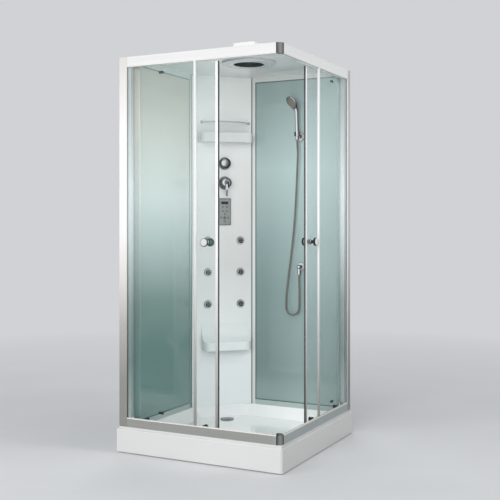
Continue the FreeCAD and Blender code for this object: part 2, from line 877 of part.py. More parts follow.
def make_column():
    corner = column_skin * (math.sqrt(2) - 1)
    flange_end = wall_inner + column_flange
    back_edge = column_edge + column_skin
    plan = [
        (-flange_end, column_edge), (-wall_inner, column_edge), (-column_edge, wall_inner),
        (-column_edge, flange_end), (-back_edge, flange_end), (-back_edge, wall_inner + corner),
        (-wall_inner - corner, back_edge), (-flange_end, back_edge),
    ]
    shell = extrude_plan(plan, rim_top, ceiling_height)
    holes = [column_hole(jet_body_radius, along, z) for along, z in jet_places()]
    holes.append(column_hole(diverter_stem_radius, fitting_shift, diverter_height))
    holes.append(column_hole(mixer_sleeve_radius, fitting_shift, mixer_height))
    save("column_panel", [cut(shell, holes)])

    back = flange_end + overrun
    uprights = []
    places = [(-back, back_edge), (-back, back - corner_post), (-back_edge - corner_post, back - corner_post)]
    for x, y in places:
        upright = block(x, x + corner_post, y, y + corner_post, rim_top, ceiling_height)
        room = block(x + tube_wall, x + corner_post - tube_wall, y + tube_wall, y + corner_post - tube_wall,
                     rim_top, ceiling_height)
        uprights.append(upright.cut(room))
    bars = []
    middle = (rim_top + ceiling_height - corner_bar_height) / 2
    for low in (rim_top, middle, ceiling_height - corner_bar_height):
        bar = block(-back, -back + corner_bar_thickness, back_edge + corner_post, back - corner_post,
                    low, low + corner_bar_height)
        bars += [bar, mirrored(bar)]
    save("column_frame", uprights + bars)


def make_foot_ledge():
    left = ledge_shift - ledge_width / 2
    flare_end = ledge_reach - ledge_lip_back
    corner = vec(left, 0, flare_start)
    top = vec(left, -flare_lip, flare_start)
    end = vec(left, -flare_end, ledge_top)
    middle = vec(left, -flare_end * flare_out_share, ledge_top + (flare_start - ledge_top) * flare_up_share)
    edge = vec(left, -ledge_reach, ledge_top)
    edge_low = vec(left, -ledge_reach, ledge_bottom)
    back_low = vec(left, 0, ledge_bottom)
    edges = [
        Part.Arc(top, middle, end).toShape(),
        Part.LineSegment(end, edge).toShape(),
        Part.LineSegment(edge, edge_low).toShape(),
        Part.LineSegment(edge_low, back_low).toShape(),
        Part.LineSegment(back_low, corner).toShape(),
        Part.LineSegment(corner, top).toShape(),
    ]
    side = Part.Face(Part.Wire(edges)).extrude(vec(ledge_width, 0, 0))
    plan = block(left, left + ledge_width, -ledge_reach, ledge_reach, ledge_bottom, flare_start)
    corners = [e for e in plan.Edges if e.BoundBox.YMax < 0 and e.BoundBox.ZLength > ledge_corner]
    ledge = side.common(plan.makeFillet(ledge_corner, corners))
    skin = ledge_lip_back / 2
    inset = ledge_corner + overrun
    pocket = block(left + inset, left + ledge_width - inset, -flare_end, 0, ledge_bottom, ledge_top - skin)
    save("foot_ledge", [on_column(ledge.cut(pocket))])


def rounded_shelf(inset, z0, z1):
    """A shelf outline with round front corners, drawn about x = 0; the inset makes it smaller all round."""
    side = shelf_width / 2 - inset
    solid = block(-side, side, inset - shelf_reach, -inset, z0, z1)
    front = [e for e in solid.Edges if e.BoundBox.YMax < -shelf_corner]
    corners = [e for e in front if e.BoundBox.ZLength > shelf_corner]
    return solid.makeFillet(shelf_corner - inset, corners)


def make_upper_shelf():
    top = shelf_bottom + shelf_height
    outside = rounded_shelf(0, shelf_bottom, top)
    basket = outside.cut(rounded_shelf(shelf_skin, shelf_bottom + shelf_skin, top))
    basket.translate(vec(shelf_shift, 0, 0))
    save("upper_shelf", [on_column(basket)])

    left = vec(guard_offset - guard_width / 2, -guard_seat, guard_height)
    right = vec(guard_offset + guard_width / 2, -guard_seat, guard_height)
    middle = vec(guard_offset, -guard_reach, guard_height)
    arc = Part.Arc(left, middle, right)
    start_way = arc.tangent(arc.FirstParameter)[0]
    ring = Part.Wire([Part.Circle(left, start_way, guard_radius).toShape()])
    pieces = [Part.Wire([arc.toShape()]).makePipeShell([ring], True, False)]
    for end in (left, right):
        wall = vec(end.x, 0, end.z)
        pieces.append(Part.makeSphere(guard_radius, end))
        pieces.append(rod(guard_radius, end, wall))
        pieces.append(rod(guard_flange_radius, wall, wall - vec(0, guard_flange_thickness, 0)))
    save("shelf_rail", [on_column(fuse(pieces))])


def make_valve(z, plate_radius, plate, neck_radius, neck_end):
    """The fixed part of a valve: plate, neck and the brass body behind the column."""
    here = vec(fitting_shift, 0, z)
    face = rod(plate_radius, here, here - vec(0, plate, 0))
    face = face.makeFillet(plate_round, [e for e in face.Edges if e.BoundBox.YMax < -gap])
    body_start = here + vec(0, column_skin, 0)
    return fuse([
        face,
        rod(neck_radius, here - vec(0, neck_end, 0), body_start),
        rod(valve_radius, body_start, body_start + vec(0, valve_depth, 0)),
    ])


def make_diverter():
    neck_end = diverter_plate + diverter_stem
    stem_end = neck_end + diverter_knob_waist
    body = make_valve(diverter_height, diverter_radius, diverter_plate, diverter_stem_radius, neck_end)
    spindle_start = vec(fitting_shift, -neck_end, diverter_height)
    spindle = rod(lever_pin_radius, spindle_start, vec(fitting_shift, -stem_end, diverter_height))
    save("diverter_body", [on_column(fuse([body, spindle]))])

    back = neck_end + gap
    front = back + diverter_knob_length
    bore = lever_pin_radius + gap
    profile = [
        (bore, -back), (diverter_knob_neck, -back), (diverter_knob_radius, -back - diverter_knob_waist),
        (diverter_knob_radius, -front + diverter_knob_waist), (diverter_knob_neck, -front), (0, -front),
        (0, -stem_end - gap), (bore, -stem_end - gap),
    ]
    knob = revolve_y(profile, fitting_shift, diverter_height)
    save("diverter_knob", [on_column(knob)])


def make_mixer():
    sleeve_end = mixer_plate + mixer_sleeve
    body = make_valve(mixer_height, mixer_radius, mixer_plate, mixer_sleeve_radius, sleeve_end)
    save("mixer_body", [on_column(body)])

    back = sleeve_end + gap
    front = back + mixer_cap_length
    centre = vec(fitting_shift, 0, mixer_height)
    cap = rod(mixer_cap_radius, centre - vec(0, back, 0), centre - vec(0, front, 0))
    cap = cap.makeFillet(mixer_cap_round, [e for e in cap.Edges if e.BoundBox.YMax < -front + gap])
    pivot = centre - vec(0, (back + front) / 2, lever_pin_drop)
    slot_half = lever_width / 2 + lever_slot_side_gap
    hub_radius = lever_width / 2
    room = hub_radius + running_gap
    slot = block(fitting_shift - slot_half, fitting_shift + slot_half, -front, pivot.y + room,
                 mixer_height - mixer_cap_radius, pivot.z + room)
    cheek = vec(slot_half + running_gap, 0, 0)
    pin = rod(lever_pin_radius, pivot - cheek, pivot + cheek)
    save("mixer_cap", [on_column(fuse([cap.cut(slot), pin]))])

    side = vec(lever_width / 2, 0, 0)
    hub = rod(hub_radius, pivot - side, pivot + side)
    thick = lever_thickness / 2
    arm = block(pivot.x - side.x, pivot.x + side.x, pivot.y - thick, pivot.y + thick,
                pivot.z - lever_length, pivot.z)
    arm_edges = [e for e in arm.Edges if e.BoundBox.ZMax < pivot.z - gap and e.BoundBox.XLength < gap]
    arm = arm.makeFillet(thick, arm_edges)
    bore = rod(lever_pin_radius + gap, pivot - side * 2, pivot + side * 2)
    save("mixer_lever", [on_column(fuse([hub, arm]).cut(bore))])


def make_control_panel():
    side = panel_width / 2
    top = panel_bottom + panel_height
    housing = block(fitting_shift - side, fitting_shift + side, -panel_rise, 0, panel_bottom, top)
    corners = [e for e in housing.Edges if e.BoundBox.YLength > panel_rise - gap]
    housing = housing.makeFillet(rim_round, corners)
    field = side - panel_frame
    floor = -panel_rise + panel_recess
    recess = block(fitting_shift - field, fitting_shift + field, floor, -panel_rise - overrun,
                   panel_bottom + panel_frame, top - panel_frame)
    save("control_panel", [on_column(housing.cut(recess))])

    face = floor - overlay_rise
    sheet = block(fitting_shift - field, fitting_shift + field, floor, face, panel_bottom + panel_frame,
                  top - panel_frame)
    display_z = top - display_drop
    half_width = display_width / 2
    half_height = display_height / 2
    display = block(fitting_shift - half_width, fitting_shift + half_width, floor, face - key_rise,
                    display_z - half_height, display_z + half_height)
    key_places = [(side * key_column, -drop) for drop in key_row_drops for side in (-1, 1)]
    for index in range(cluster_key_count):
        turn = 2 * math.pi * index / cluster_key_count
        key_places.append((cluster_ring * math.cos(turn), cluster_ring * math.sin(turn) - cluster_drop))
    keys = []
    for along, drop in key_places:
        place = vec(fitting_shift + along, floor, top + drop)
        keys.append(rod(key_radius, place, place - vec(0, overlay_rise + key_rise, 0)))
    save("control_overlay", [on_column(fuse([sheet, display] + keys))])


def make_jets():
    bodies = []
    for index, (along, z) in enumerate(jet_places()):
        here = vec(along, 0, z)
        ball_centre = here - vec(0, jet_ball_sink, 0)
        plate = rod(jet_radius, here, here - vec(0, jet_plate, 0))
        plate = plate.makeFillet(jet_plate_round, [e for e in plate.Edges if e.BoundBox.YMax < -gap])
        barrel = rod(jet_body_radius, here, here + vec(0, jet_body_depth, 0))
        socket = Part.makeSphere(jet_ball_radius + gap, ball_centre)
        mouth = rod(jet_mouth_radius, here - vec(0, jet_plate, 0), ball_centre)
        channel = rod(jet_nozzle_radius, here, here + vec(0, jet_body_depth, 0))
        body = cut(fuse([plate, barrel]), [socket, mouth, channel])
        tip = jet_ball_radius - jet_nozzle_radius / 2
        pins = [
            rod(jet_pivot_radius, ball_centre + vec(way * tip, 0, 0),
                ball_centre + vec(way * (jet_mouth_radius + running_gap), 0, 0))
            for way in (-1, 1)
        ]
        bodies.append(on_column(fuse([body] + pins)))

        ball = Part.makeSphere(jet_ball_radius, ball_centre)
        spout = rod(jet_nozzle_radius, ball_centre, ball_centre - vec(0, jet_nozzle_reach, 0))
        bore = rod(jet_bore_radius, ball_centre + vec(0, jet_ball_radius, 0),
                   ball_centre - vec(0, jet_nozzle_reach, 0))
        dimples = [
            rod(jet_pivot_radius + jet_pivot_gap, ball_centre + vec(way * (tip - gap), 0, 0),
                ball_centre + vec(way * jet_ball_radius, 0, 0))
            for way in (-1, 1)
        ]
        save("jet_nozzle_" + str(index + 1), [on_column(cut(fuse([ball, spout]), [bore] + dimples))])
    save("jet_bodies", bodies)


def pipe_run(points, radius):
    """Straight pipe between points, with a ball elbow at each turn."""
    pieces = [rod(radius, points[i], points[i + 1]) for i in range(len(points) - 1)]
    pieces += [Part.makeSphere(radius, point) for point in points[1:-1]]
    return pieces


def make_supply_pipes():
    left = fitting_shift - jet_column
    right = fitting_shift + jet_column
    deep = manifold_depth
    high = max(jet_heights) + manifold_drop / 2
    low = min(jet_heights)
    divider = vec(fitting_shift, deep, diverter_height)
    pieces = pipe_run([vec(left, deep, low - pipe_radius), vec(left, deep, high), vec(right, deep, high),
                       vec(right, deep, low - pipe_radius)], pipe_radius)
    pieces += pipe_run([vec(riser_column, deep, high), vec(riser_column, deep, diverter_height),
                        divider - vec(valve_radius, 0, 0)], pipe_radius)
    for along, z in jet_places():
        pieces.append(rod(pipe_radius, vec(along, jet_body_depth, z), vec(along, deep, z)))
    manifold = on_column(fuse(pieces))

    riser_depth = column_skin + valve_depth / 2
    roof_z = ceiling_height + roof_skin + roof_pipe_rise
    ring_reach = (ring_centre + column_centre) * math.sqrt(2) - ring_nozzle_ring
    riser = on_column(fuse(pipe_run([
        vec(fitting_shift, riser_depth, diverter_height + valve_radius),
        vec(fitting_shift, riser_depth, roof_z),
        vec(fitting_shift, -ring_reach, roof_z),
        vec(fitting_shift, -ring_reach, ceiling_height),
    ], pipe_radius)))

    link = on_column(rod(pipe_radius, vec(fitting_shift, riser_depth, mixer_height + valve_radius),
                         vec(fitting_shift, riser_depth, diverter_height - valve_radius)))

    inlets = []
    for way in (-1, 1):
        column = fitting_shift + way * inlet_column
        start = vec(fitting_shift + way * valve_radius, riser_depth, mixer_height)
        end = vec(column, riser_depth, inlet_low)
        run = pipe_run([start, vec(column, riser_depth, mixer_height), end], pipe_radius)
        nut_end = end - vec(0, 0, inlet_nut_length)
        run.append(hexagon(inlet_nut_radius, end.x, end.y, nut_end.z, end.z))
        run.append(rod(inlet_thread_radius, nut_end, nut_end - vec(0, 0, inlet_thread_length)))
        inlets.append(on_column(fuse(run)))

    start = vec(fitting_shift, column_skin + valve_depth, diverter_height)
    depth = start.y + outlet_pipe_depth / 2
    column = fitting_shift + inlet_column + 2 * pipe_radius
    turn_low = on_column(Part.Vertex(vec(column, depth, outlet_z))).Point
    behind = wall_back + outlet_pipe_depth / 2 + pipe_radius
    upper = on_column(fuse(pipe_run([start, vec(fitting_shift, depth, diverter_height),
                                     vec(column, depth, diverter_height), vec(column, depth, outlet_z)],
                                    pipe_radius)))
    glass_back = wall_inner + wall_glass_recess + wall_glass_thickness
    lower = pipe_run([turn_low, vec(turn_low.x, behind, outlet_z), vec(outlet_x, behind, outlet_z),
                      vec(outlet_x, glass_back, outlet_z)], pipe_radius)
    hand_feed = fuse([upper, Part.makeSphere(pipe_radius, turn_low)] + lower)
    save("supply_pipes", [manifold, riser, link, hand_feed] + inlets)


def make_roof():
    near = inner
    far = outer
    roof_top = ceiling_height + roof_skin
    plate = block(-far, near, -near, far, ceiling_height, roof_top)
    skirts = [
        block(-far, -far + roof_skirt, -near, far, top_rail_bottom, top_rail_top),
        block(-far, near, far - roof_skirt, far, top_rail_bottom, top_rail_top),
    ]
    duct_hole = rod(duct_radius, vec(ring_centre, -ring_centre, ceiling_height),
                    vec(ring_centre, -ring_centre, roof_top))
    riser_depth = column_skin + valve_depth / 2
    ring_reach = (ring_centre + column_centre) * math.sqrt(2) - ring_nozzle_ring
    pipe_holes = [
        on_column(rod(pipe_radius, vec(fitting_shift, y, ceiling_height), vec(fitting_shift, y, roof_top)))
        for y in (riser_depth, -ring_reach)
    ]
    save("roof_shell", [cut(fuse([plate] + skirts), [duct_hole] + pipe_holes)])


def make_rain_shower():
    middle = vec(ring_centre, -ring_centre, ceiling_height)
    bottom = middle - vec(0, 0, ring_thickness)
    ring = rod(ring_radius, bottom, middle)
    ring = ring.makeFillet(ring_thickness / 2, [e for e in ring.Edges if e.BoundBox.ZMax < bottom.z + gap])
    ring = ring.cut(rod(ring_hole_radius, bottom, middle))
    nozzles = []
    for index in range(ring_nozzle_count):
        turn = 2 * math.pi * index / ring_nozzle_count
        place = bottom + vec(ring_nozzle_ring * math.cos(turn), ring_nozzle_ring * math.sin(turn), 0)
        rise = vec(0, 0, ring_nozzle_rise)
        nozzles.append(rod(ring_nozzle_radius, place - rise, place + rise))
    save("rain_shower_ring", [fuse([ring] + nozzles)])

    top = middle + vec(0, 0, duct_height)
    duct = rod(duct_radius, bottom, top)
    lift = vec(0, 0, duct_wall)
    duct = cut(duct, [rod(duct_radius - duct_wall, bottom, top - lift), rod(fan_bore_radius, bottom, top)])
    grille_low = middle + vec(0, 0, roof_skin)
    grille_top = grille_low + vec(0, 0, grille_thickness)
    grille_radius = duct_radius - duct_wall
    edge_ring = rod(grille_radius, grille_low, grille_top)
    edge_ring = edge_ring.cut(rod(grille_radius - grille_ring_width, grille_low, grille_top))
    bars = [rod(grille_hub_radius, grille_low, grille_top), edge_ring]
    step = (grille_radius - grille_hub_radius) / grille_ring_count
    for index in range(1, grille_ring_count):
        radius = grille_hub_radius + index * step
        bars.append(rod(radius + grille_ring_width / 2, grille_low, grille_top).cut(
            rod(radius - grille_ring_width / 2, grille_low, grille_top)))
    for index in range(grille_rib_count):
        side = grille_rib_width / 2
        rib = block(0, grille_radius - grille_ring_width / 2, -side, side, 0, grille_thickness)
        rib.rotate(ORIGIN, Z_AXIS, FULL_TURN * index / grille_rib_count)
        rib.translate(grille_low)
        bars.append(rib)
    save("fan_grille", [duct, fuse(bars)])


def make_fan():
    side = fan_box_side / 2
    low = ceiling_height + duct_height
    high = low + fan_box_height
    x = ring_centre
    y = -ring_centre
    box = block(x - side, x + side, y - side, y + side, low, high)
    corners = [e for e in box.Edges if e.BoundBox.ZLength > fan_box_height - gap]
    box = box.makeFillet(tray_edge_round, corners)
    open_side = side - fan_box_wall
    room = block(x - open_side, x + open_side, y - open_side, y + open_side,
                 low + fan_box_wall, high - fan_box_wall)
    bore = rod(fan_bore_radius, vec(x, y, low), vec(x, y, low + fan_box_wall))
    slots = []
    pitch = 2 * open_side / fan_slot_count
    for index in range(fan_slot_count):
        centre = x - open_side + pitch * index + pitch / 2
        half_slot = fan_slot_width / 2
        slot_end = open_side - fan_slot_width
        slots.append(block(centre - half_slot, centre + half_slot, y - slot_end, y + slot_end,
                           high - fan_box_wall, high))
    shell = cut(box, [room, bore] + slots)
    motor_low = vec(x, y, low + fan_box_wall)
    motor_top = motor_low + vec(0, 0, motor_height)
    strut = motor_strut / 2
    struts = [
        block(x - open_side, x + open_side, y - strut, y + strut, motor_low.z, motor_low.z + motor_strut),
        block(x - strut, x + strut, y - open_side, y + open_side, motor_low.z, motor_low.z + motor_strut),
    ]
    rotor_bottom = low + rotor_low
    shaft = rod(motor_shaft_radius, motor_top, vec(x, y, rotor_bottom + rotor_height / 2))
    save("fan_box", [fuse([shell, rod(motor_radius, motor_low, motor_top), shaft] + struts)])

    start = vec(x, y, rotor_bottom)
    hub = rod(rotor_hub_radius, start, start + vec(0, 0, rotor_height))
    blades = []
    for index in range(rotor_blade_count):
        blade_width = rotor_height * blade_width_share
        blade = block(rotor_hub_radius - running_gap, rotor_radius, -blade_width / 2, blade_width / 2,
                      -rotor_blade_thickness / 2, rotor_blade_thickness / 2)
        blade.rotate(ORIGIN, vec(1, 0, 0), rotor_blade_pitch)
        blade.translate(vec(0, 0, rotor_height / 2))
        blade.rotate(ORIGIN, Z_AXIS, FULL_TURN * index / rotor_blade_count)
        blade.translate(start)
        blades.append(blade)
    bore_end = vec(x, y, rotor_bottom + rotor_height / 2 + running_gap)
    bore = rod(motor_shaft_radius + rotor_bore_gap, start, bore_end)
    save("fan_rotor", [fuse([hub] + blades).cut(bore)])


def handset_line():
    """The foot of the hand shower's straight grip and the place where its neck begins to bend."""
    foot = vec(handset_foot_x, clip_centre_y, handset_foot_z)
    return foot, vec(handset_bend_x, clip_centre_y, handset_bend_z)


def make_bracket():
    wall_face = wall_inner + wall_glass_recess
    pivot = vec(bracket_x, wall_face - bracket_reach, bracket_z)
    plate_face = wall_face - bracket_plate
    plate = rod(bracket_radius, vec(bracket_x, wall_face, bracket_z), vec(bracket_x, plate_face, bracket_z))
    plate = plate.makeFillet(rim_round, [e for e in plate.Edges if e.BoundBox.YMax < plate_face + gap])
    neck_end = pivot.y + knuckle_radius + gap
    neck = rod(bracket_neck_radius, vec(bracket_x, plate_face, bracket_z),
               vec(bracket_x, neck_end, bracket_z))
    link = block(pivot.x - knuckle_half, pivot.x + knuckle_half, pivot.y, neck_end,
                 pivot.z - knuckle_half, pivot.z + knuckle_half)
    half_width = vec(knuckle_half, 0, 0)
    knuckle = rod(knuckle_radius, pivot - half_width, pivot + half_width)
    bore = rod(clip_pin_radius + gap, pivot - half_width, pivot + half_width)
    save("handset_bracket", [fuse([plate, neck, link, knuckle]).cut(bore)])

    foot, bend = handset_line()
    way = (bend - foot).normalize()
    low = foot + way * clip_seat
    pieces = [rod(clip_outer_radius, low, low + way * clip_ring_height)]
    for side in (-1, 1):
        near = side * (knuckle_half + gap)
        far = near + side * ear_thickness
        pieces.append(block(pivot.x + near, pivot.x + far, clip_centre_y, pivot.y, pivot.z - knuckle_radius,
                            pivot.z + knuckle_radius))
        pieces.append(rod(knuckle_radius, pivot + vec(near, 0, 0), pivot + vec(far, 0, 0)))
    pin_end = vec(knuckle_half + gap + ear_thickness, 0, 0)
    pieces.append(rod(clip_pin_radius, pivot - pin_end, pivot + pin_end))
    slope = (handset_grip_radius - handset_foot_radius) / handset_cone
    seat_end = clip_seat + clip_ring_height + overrun
    room_low = handset_foot_radius + gap
    room = Part.makeCone(room_low, room_low + slope * seat_end, seat_end, foot, way)
    mouth = block(-clip_mouth_width / 2, clip_mouth_width / 2, -clip_outer_radius - overrun, 0,
                  -overrun, clip_ring_height + 2 * overrun)
    lean = math.degrees(math.atan2(bend.x - foot.x, bend.z - foot.z))
    mouth.rotate(ORIGIN, vec(0, 1, 0), lean)
    mouth.translate(foot)
    wide = clip_outer_radius * 2
    below = block(pivot.x - wide, pivot.x + wide, clip_centre_y - clip_outer_radius,
                  clip_centre_y + clip_seat_clear, pivot.z - wide, foot.z)
    save("handset_clip", [cut(fuse(pieces), [room, mouth, below])])


def make_handset():
    foot, bend = handset_line()
    way = (bend - foot).normalize()
    head = vec(handset_head_x, handset_head_y, handset_head_z)
    turn = math.radians(handset_face_turn)
    drop = math.radians(handset_face_drop)
    face_way = vec(-math.sin(turn) * math.cos(drop), -math.cos(turn) * math.cos(drop), -math.sin(drop))
    cone_end = foot + way * handset_cone
    neck_end = head - face_way * handset_neck_depth
    chord = neck_end - bend
    swing = way.getAngle(chord)
    outward = (way * chord.Length - chord * math.cos(swing)).normalize()
    middle = bend + chord / 2 + outward * (chord.Length / 2 * math.tan(swing / 2))
    route = Part.Wire([
        Part.LineSegment(cone_end, bend).toShape(),
        Part.Arc(bend, middle, neck_end).toShape(),
    ])
    ring = Part.Wire([Part.Circle(cone_end, way, handset_grip_radius).toShape()])
    face_back = head + face_way * (handset_head_thickness / 2 - handset_face_thickness)
    dome = handset_head_thickness - handset_face_thickness
    face = rod(handset_head_radius, face_back, face_back + face_way * handset_face_thickness)
    face = face.makeFillet(rim_round, face.Edges)
    body = fuse([
        Part.makeCone(handset_foot_radius, handset_grip_radius, handset_cone, foot, way),
        route.makePipeShell([ring], True, False),
        face,
        Part.makeCone(handset_back_radius, handset_head_radius - rim_round, dome + rim_round,
                      face_back - face_way * dome, face_way),
    ])
    nut = rod(nut_radius, foot - way * nut_length, foot)
    save("handset", [body, nut])


def make_hose_outlet():
    wall_face = wall_inner + wall_glass_recess
    axis = vec(outlet_x, hose_points[-1][1], outlet_z)
    plate = rod(outlet_plate_radius, vec(outlet_x, wall_face, outlet_z),
                vec(outlet_x, wall_face - outlet_plate, outlet_z))
    plate = plate.makeFillet(rim_round, [e for e in plate.Edges if e.BoundBox.YMax < wall_face - gap])
    nut_top = vec(*hose_points[-1]) + vec(0, 0, nut_length)
    body = fuse([
        plate,
        rod(outlet_body_radius, vec(outlet_x, wall_face + wall_glass_thickness, outlet_z), axis),
        Part.makeSphere(outlet_ball_radius, axis),
        rod(outlet_neck_radius, axis, nut_top),
    ])
    nut = rod(nut_radius, vec(*hose_points[-1]), nut_top)
    save("hose_outlet", [body, nut])


def make_hose():
    points = [vec(*point) for point in hose_points]
    start = points[0]
    edges = []
    radii = []
    for index in range(1, len(points) - 1):
        here = points[index]
        to_before = points[index - 1] - here
        to_after = points[index + 1] - here
        back = hose_arc_share * min(to_before.Length, to_after.Length)
        half_turn = (math.pi - to_before.getAngle(to_after)) / 2
        radius = back / math.tan(half_turn)
        to_before.normalize()
        to_after.normalize()
        arc_start = here + to_before * back
        arc_end = here + to_after * back
        centre = here + (to_before + to_after).normalize() * (radius / math.cos(half_turn))
        middle = centre + (here - centre).normalize() * radius
        edges.append(Part.LineSegment(start, arc_start).toShape())
        edges.append(Part.Arc(arc_start, middle, arc_end).toShape())
        radii.append(radius)
        start = arc_end
    edges.append(Part.LineSegment(start, points[-1]).toShape())
    route = Part.Wire(edges)
    ring = Part.Wire([Part.Circle(points[0], points[1] - points[0], hose_radius).toShape()])
    hose = route.makePipeShell([ring], True, False)
    save("shower_hose", [hose])
    print("hose length", round(route.Length, 1), "smallest bend radius", round(min(radii), 1))
    print("hose bend radii", [round(radius) for radius in radii])
    print("hose volume", round(hose.Volume), "section times length",
          round(math.pi * hose_radius ** 2 * route.Length))


os.makedirs("parts", exist_ok=True)
make_tray()
make_support_frame()
make_levelling_feet()
make_drain()
make_posts()
make_rails()
make_corner_caps()
make_fixed_panes()
make_doors()
make_walls()
make_column()
make_foot_ledge()
make_upper_shelf()
make_diverter()
make_mixer()
make_control_panel()
make_jets()
make_supply_pipes()
make_roof()
make_rain_shower()
make_fan()
make_bracket()
make_handset()
make_hose_outlet()
make_hose()
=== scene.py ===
import math

import bpy
import numpy as np
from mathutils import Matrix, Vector


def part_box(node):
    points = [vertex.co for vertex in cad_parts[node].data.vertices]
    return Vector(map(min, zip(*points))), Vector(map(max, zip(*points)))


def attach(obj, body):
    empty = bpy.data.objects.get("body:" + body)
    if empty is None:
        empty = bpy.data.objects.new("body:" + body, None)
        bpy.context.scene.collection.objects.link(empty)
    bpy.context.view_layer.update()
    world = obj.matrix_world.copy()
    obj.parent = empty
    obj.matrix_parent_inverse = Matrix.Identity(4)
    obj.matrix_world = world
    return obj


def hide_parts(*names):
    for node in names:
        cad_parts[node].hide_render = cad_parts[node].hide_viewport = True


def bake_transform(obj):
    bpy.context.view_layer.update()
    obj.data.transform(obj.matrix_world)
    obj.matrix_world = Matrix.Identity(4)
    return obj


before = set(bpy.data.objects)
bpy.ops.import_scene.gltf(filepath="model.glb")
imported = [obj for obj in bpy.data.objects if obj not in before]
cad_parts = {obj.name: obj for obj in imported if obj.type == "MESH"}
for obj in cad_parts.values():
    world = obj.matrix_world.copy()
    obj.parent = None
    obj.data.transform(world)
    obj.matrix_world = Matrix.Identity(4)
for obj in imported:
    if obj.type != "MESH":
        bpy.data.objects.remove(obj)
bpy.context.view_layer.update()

# Camera, from the photograph's perspective, in metres and degrees
camera_place = (2.3623, -4.5488, 1.2646)
camera_turn = 26.78
camera_lens = 64.31
camera_sensor = 36.0
camera_shift = -0.0568

# Diagonal column: its face's middle, its direction, and how far the fittings stand beside its middle
column_centre = 0.252
column_turn = math.radians(45)
fitting_shift = 0.015

# Hose route, from the hand shower's nut to the outlet's nut
hose_points = [
    (0.2136, 0.3340, 1.7500),
    (0.2143, 0.3340, 1.7233),
    (0.2175, 0.3350, 1.6750),
    (0.2130, 0.3375, 1.5900),
    (0.2050, 0.3420, 1.4600),
    (0.1950, 0.3465, 1.3250),
    (0.1820, 0.3500, 1.1900),
    (0.1655, 0.3523, 1.0600),
    (0.1480, 0.3535, 0.9400),
    (0.1350, 0.3540, 0.8450),
    (0.1305, 0.3540, 0.7850),
    (0.1310, 0.3540, 0.7340),
    (0.1474, 0.3540, 0.7114),
    (0.1740, 0.3540, 0.7028),
    (0.2006, 0.3540, 0.7114),
    (0.2170, 0.3540, 0.7340),
    (0.2189, 0.3540, 0.7770),
    (0.2193, 0.3540, 0.8400),
    (0.2166, 0.3540, 0.9030),
    (0.2166, 0.3540, 0.9480),
]
hose_diameter = 0.012
hose_groove = 0.0004
hose_rib = 0.0024

# Hand shower
handset_foot = (0.2130, 0.3340, 1.7720)
handset_bend = (0.2097, 0.3340, 1.9020)
handset_head = (0.1920, 0.3100, 1.9745)
handset_foot_radius = 0.009
handset_grip_radius = 0.0105
handset_head_radius = 0.042
handset_head_thickness = 0.020
handset_face_turn = math.radians(31)
handset_face_drop = math.radians(33)
grip_waist = 0.0008
grip_flare = 0.0045
grip_start = 0.03
spray_rings = ((0.006, 6), (0.012, 12), (0.018, 18), (0.024, 24), (0.030, 30))
nut_length = 0.022
nut_radius = 0.010

# Door knobs: where a half starts beside the pane's middle, how far it reaches, its radius and its finish
knob_start = 0.003
knob_reach = 0.040
knob_radius = 0.0225
# The right knob's chrome has its painted reflection turned towards its side
knob_finish = {"left": "chrome", "right": "side_chrome"}

# Diverter and mixer lever: places out from the column's face; the lever's line is out and down from its
# pivot, and its end rounds off past the tip's share
diverter_out = 0.0183
mark_rise = 0.0262
lever_out = 0.0493
lever_height = 1.497
hub_width = 0.015
lever_line = ((0.0, 0.0), (0.002, 0.02), (0.003, 0.045), (0.001, 0.065), (0.0, 0.0795))
lever_width = 0.0066
lever_swell = 0.0009
lever_thickness = 0.0048
lever_taper = 0.0013
lever_tip = 0.93
lever_step = 0.0016
lever_sides = 28

# Hydromassage jets: the ball's radius and place in its ring, the nozzle's reach, and the four fins
jet_ball = 0.0138
jet_ball_out = 0.002
jet_reach = 0.0155
fin_circle = 0.0088
fin_out = 0.0104

# Keypad: its film's place and thickness, and the drops of its window and keys from its upper edge
keypad_out = 0.0055
keypad_film = 0.0011
keypad_margin = 0.0102
window_drop = 0.028
key_out = 0.0008
key_drops = (0.053, 0.079)
key_aside = 0.013
ring_drop = 0.119
ring_radius = 0.022

# Studio: the floor, the ring over which it fades into the backdrop, and the lamps
backdrop = (208, 210, 213)
floor_reach = 14.0
fade_near = 1.6
fade_far = 5.5
world_colour = (0.94, 0.97, 1.0, 1.0)
world_strength = 0.40
lamps = [  # name, place, the point that it faces, width, height and watts
    ("key", (1.2, -5.4, 2.3), (0, 0, 1.0), 2.6, 2.4, 150),
    ("high", (-2.5, -4.0, 5.5), (0, 0, 1.2), 3.0, 3.0, 90),
    ("inside", (0.40, -0.40, 1.15), (-0.25, 0.25, 1.1), 0.3, 1.7, 3.8),
    ("back", (-2.5, 4.2, 4.2), (0, 0, 1.2), 3.0, 3.0, 60),
    ("side", (3.6, 0.3, 3.7), (0.5, 0, 2.1), 1.6, 1.6, 55),
]

# The point of a turned piece is a ring this small
least_radius = 0.00005

# The small bevel of moulded and extruded pieces, and the angle past which an edge gets it
soft_edge = 0.0008
soft_angle = math.radians(50)

# Finishes: the depth of their relief, colours used more than once, and places where a finish and its
# painted light and shade change
relief = 0.0004
glass_edge = (120, 166, 152)
seal_tone = (50, 52, 53)
seal_line = 0.1101
skirt_edge = 0.4893
lip_height = 0.1868
wall_border = -0.384
wall_front = 0.41

# Posts: where the adjusting strip and the inner side begin, and where their painted shades change and how
# softly
strip_line = -0.4406
seam_line = 0.4785
tint_line = 0.452
tint_fade = 0.008
far_line = 0.452
far_fade = 0.012

# The walls' glass panes: the places of their edges, the width of the dark line along these, and the
# place of the line on the upright beside them
pane_near = -0.091
pane_low = 0.170
pane_high = 2.122
pane_edge = 0.010
near_line = -0.117
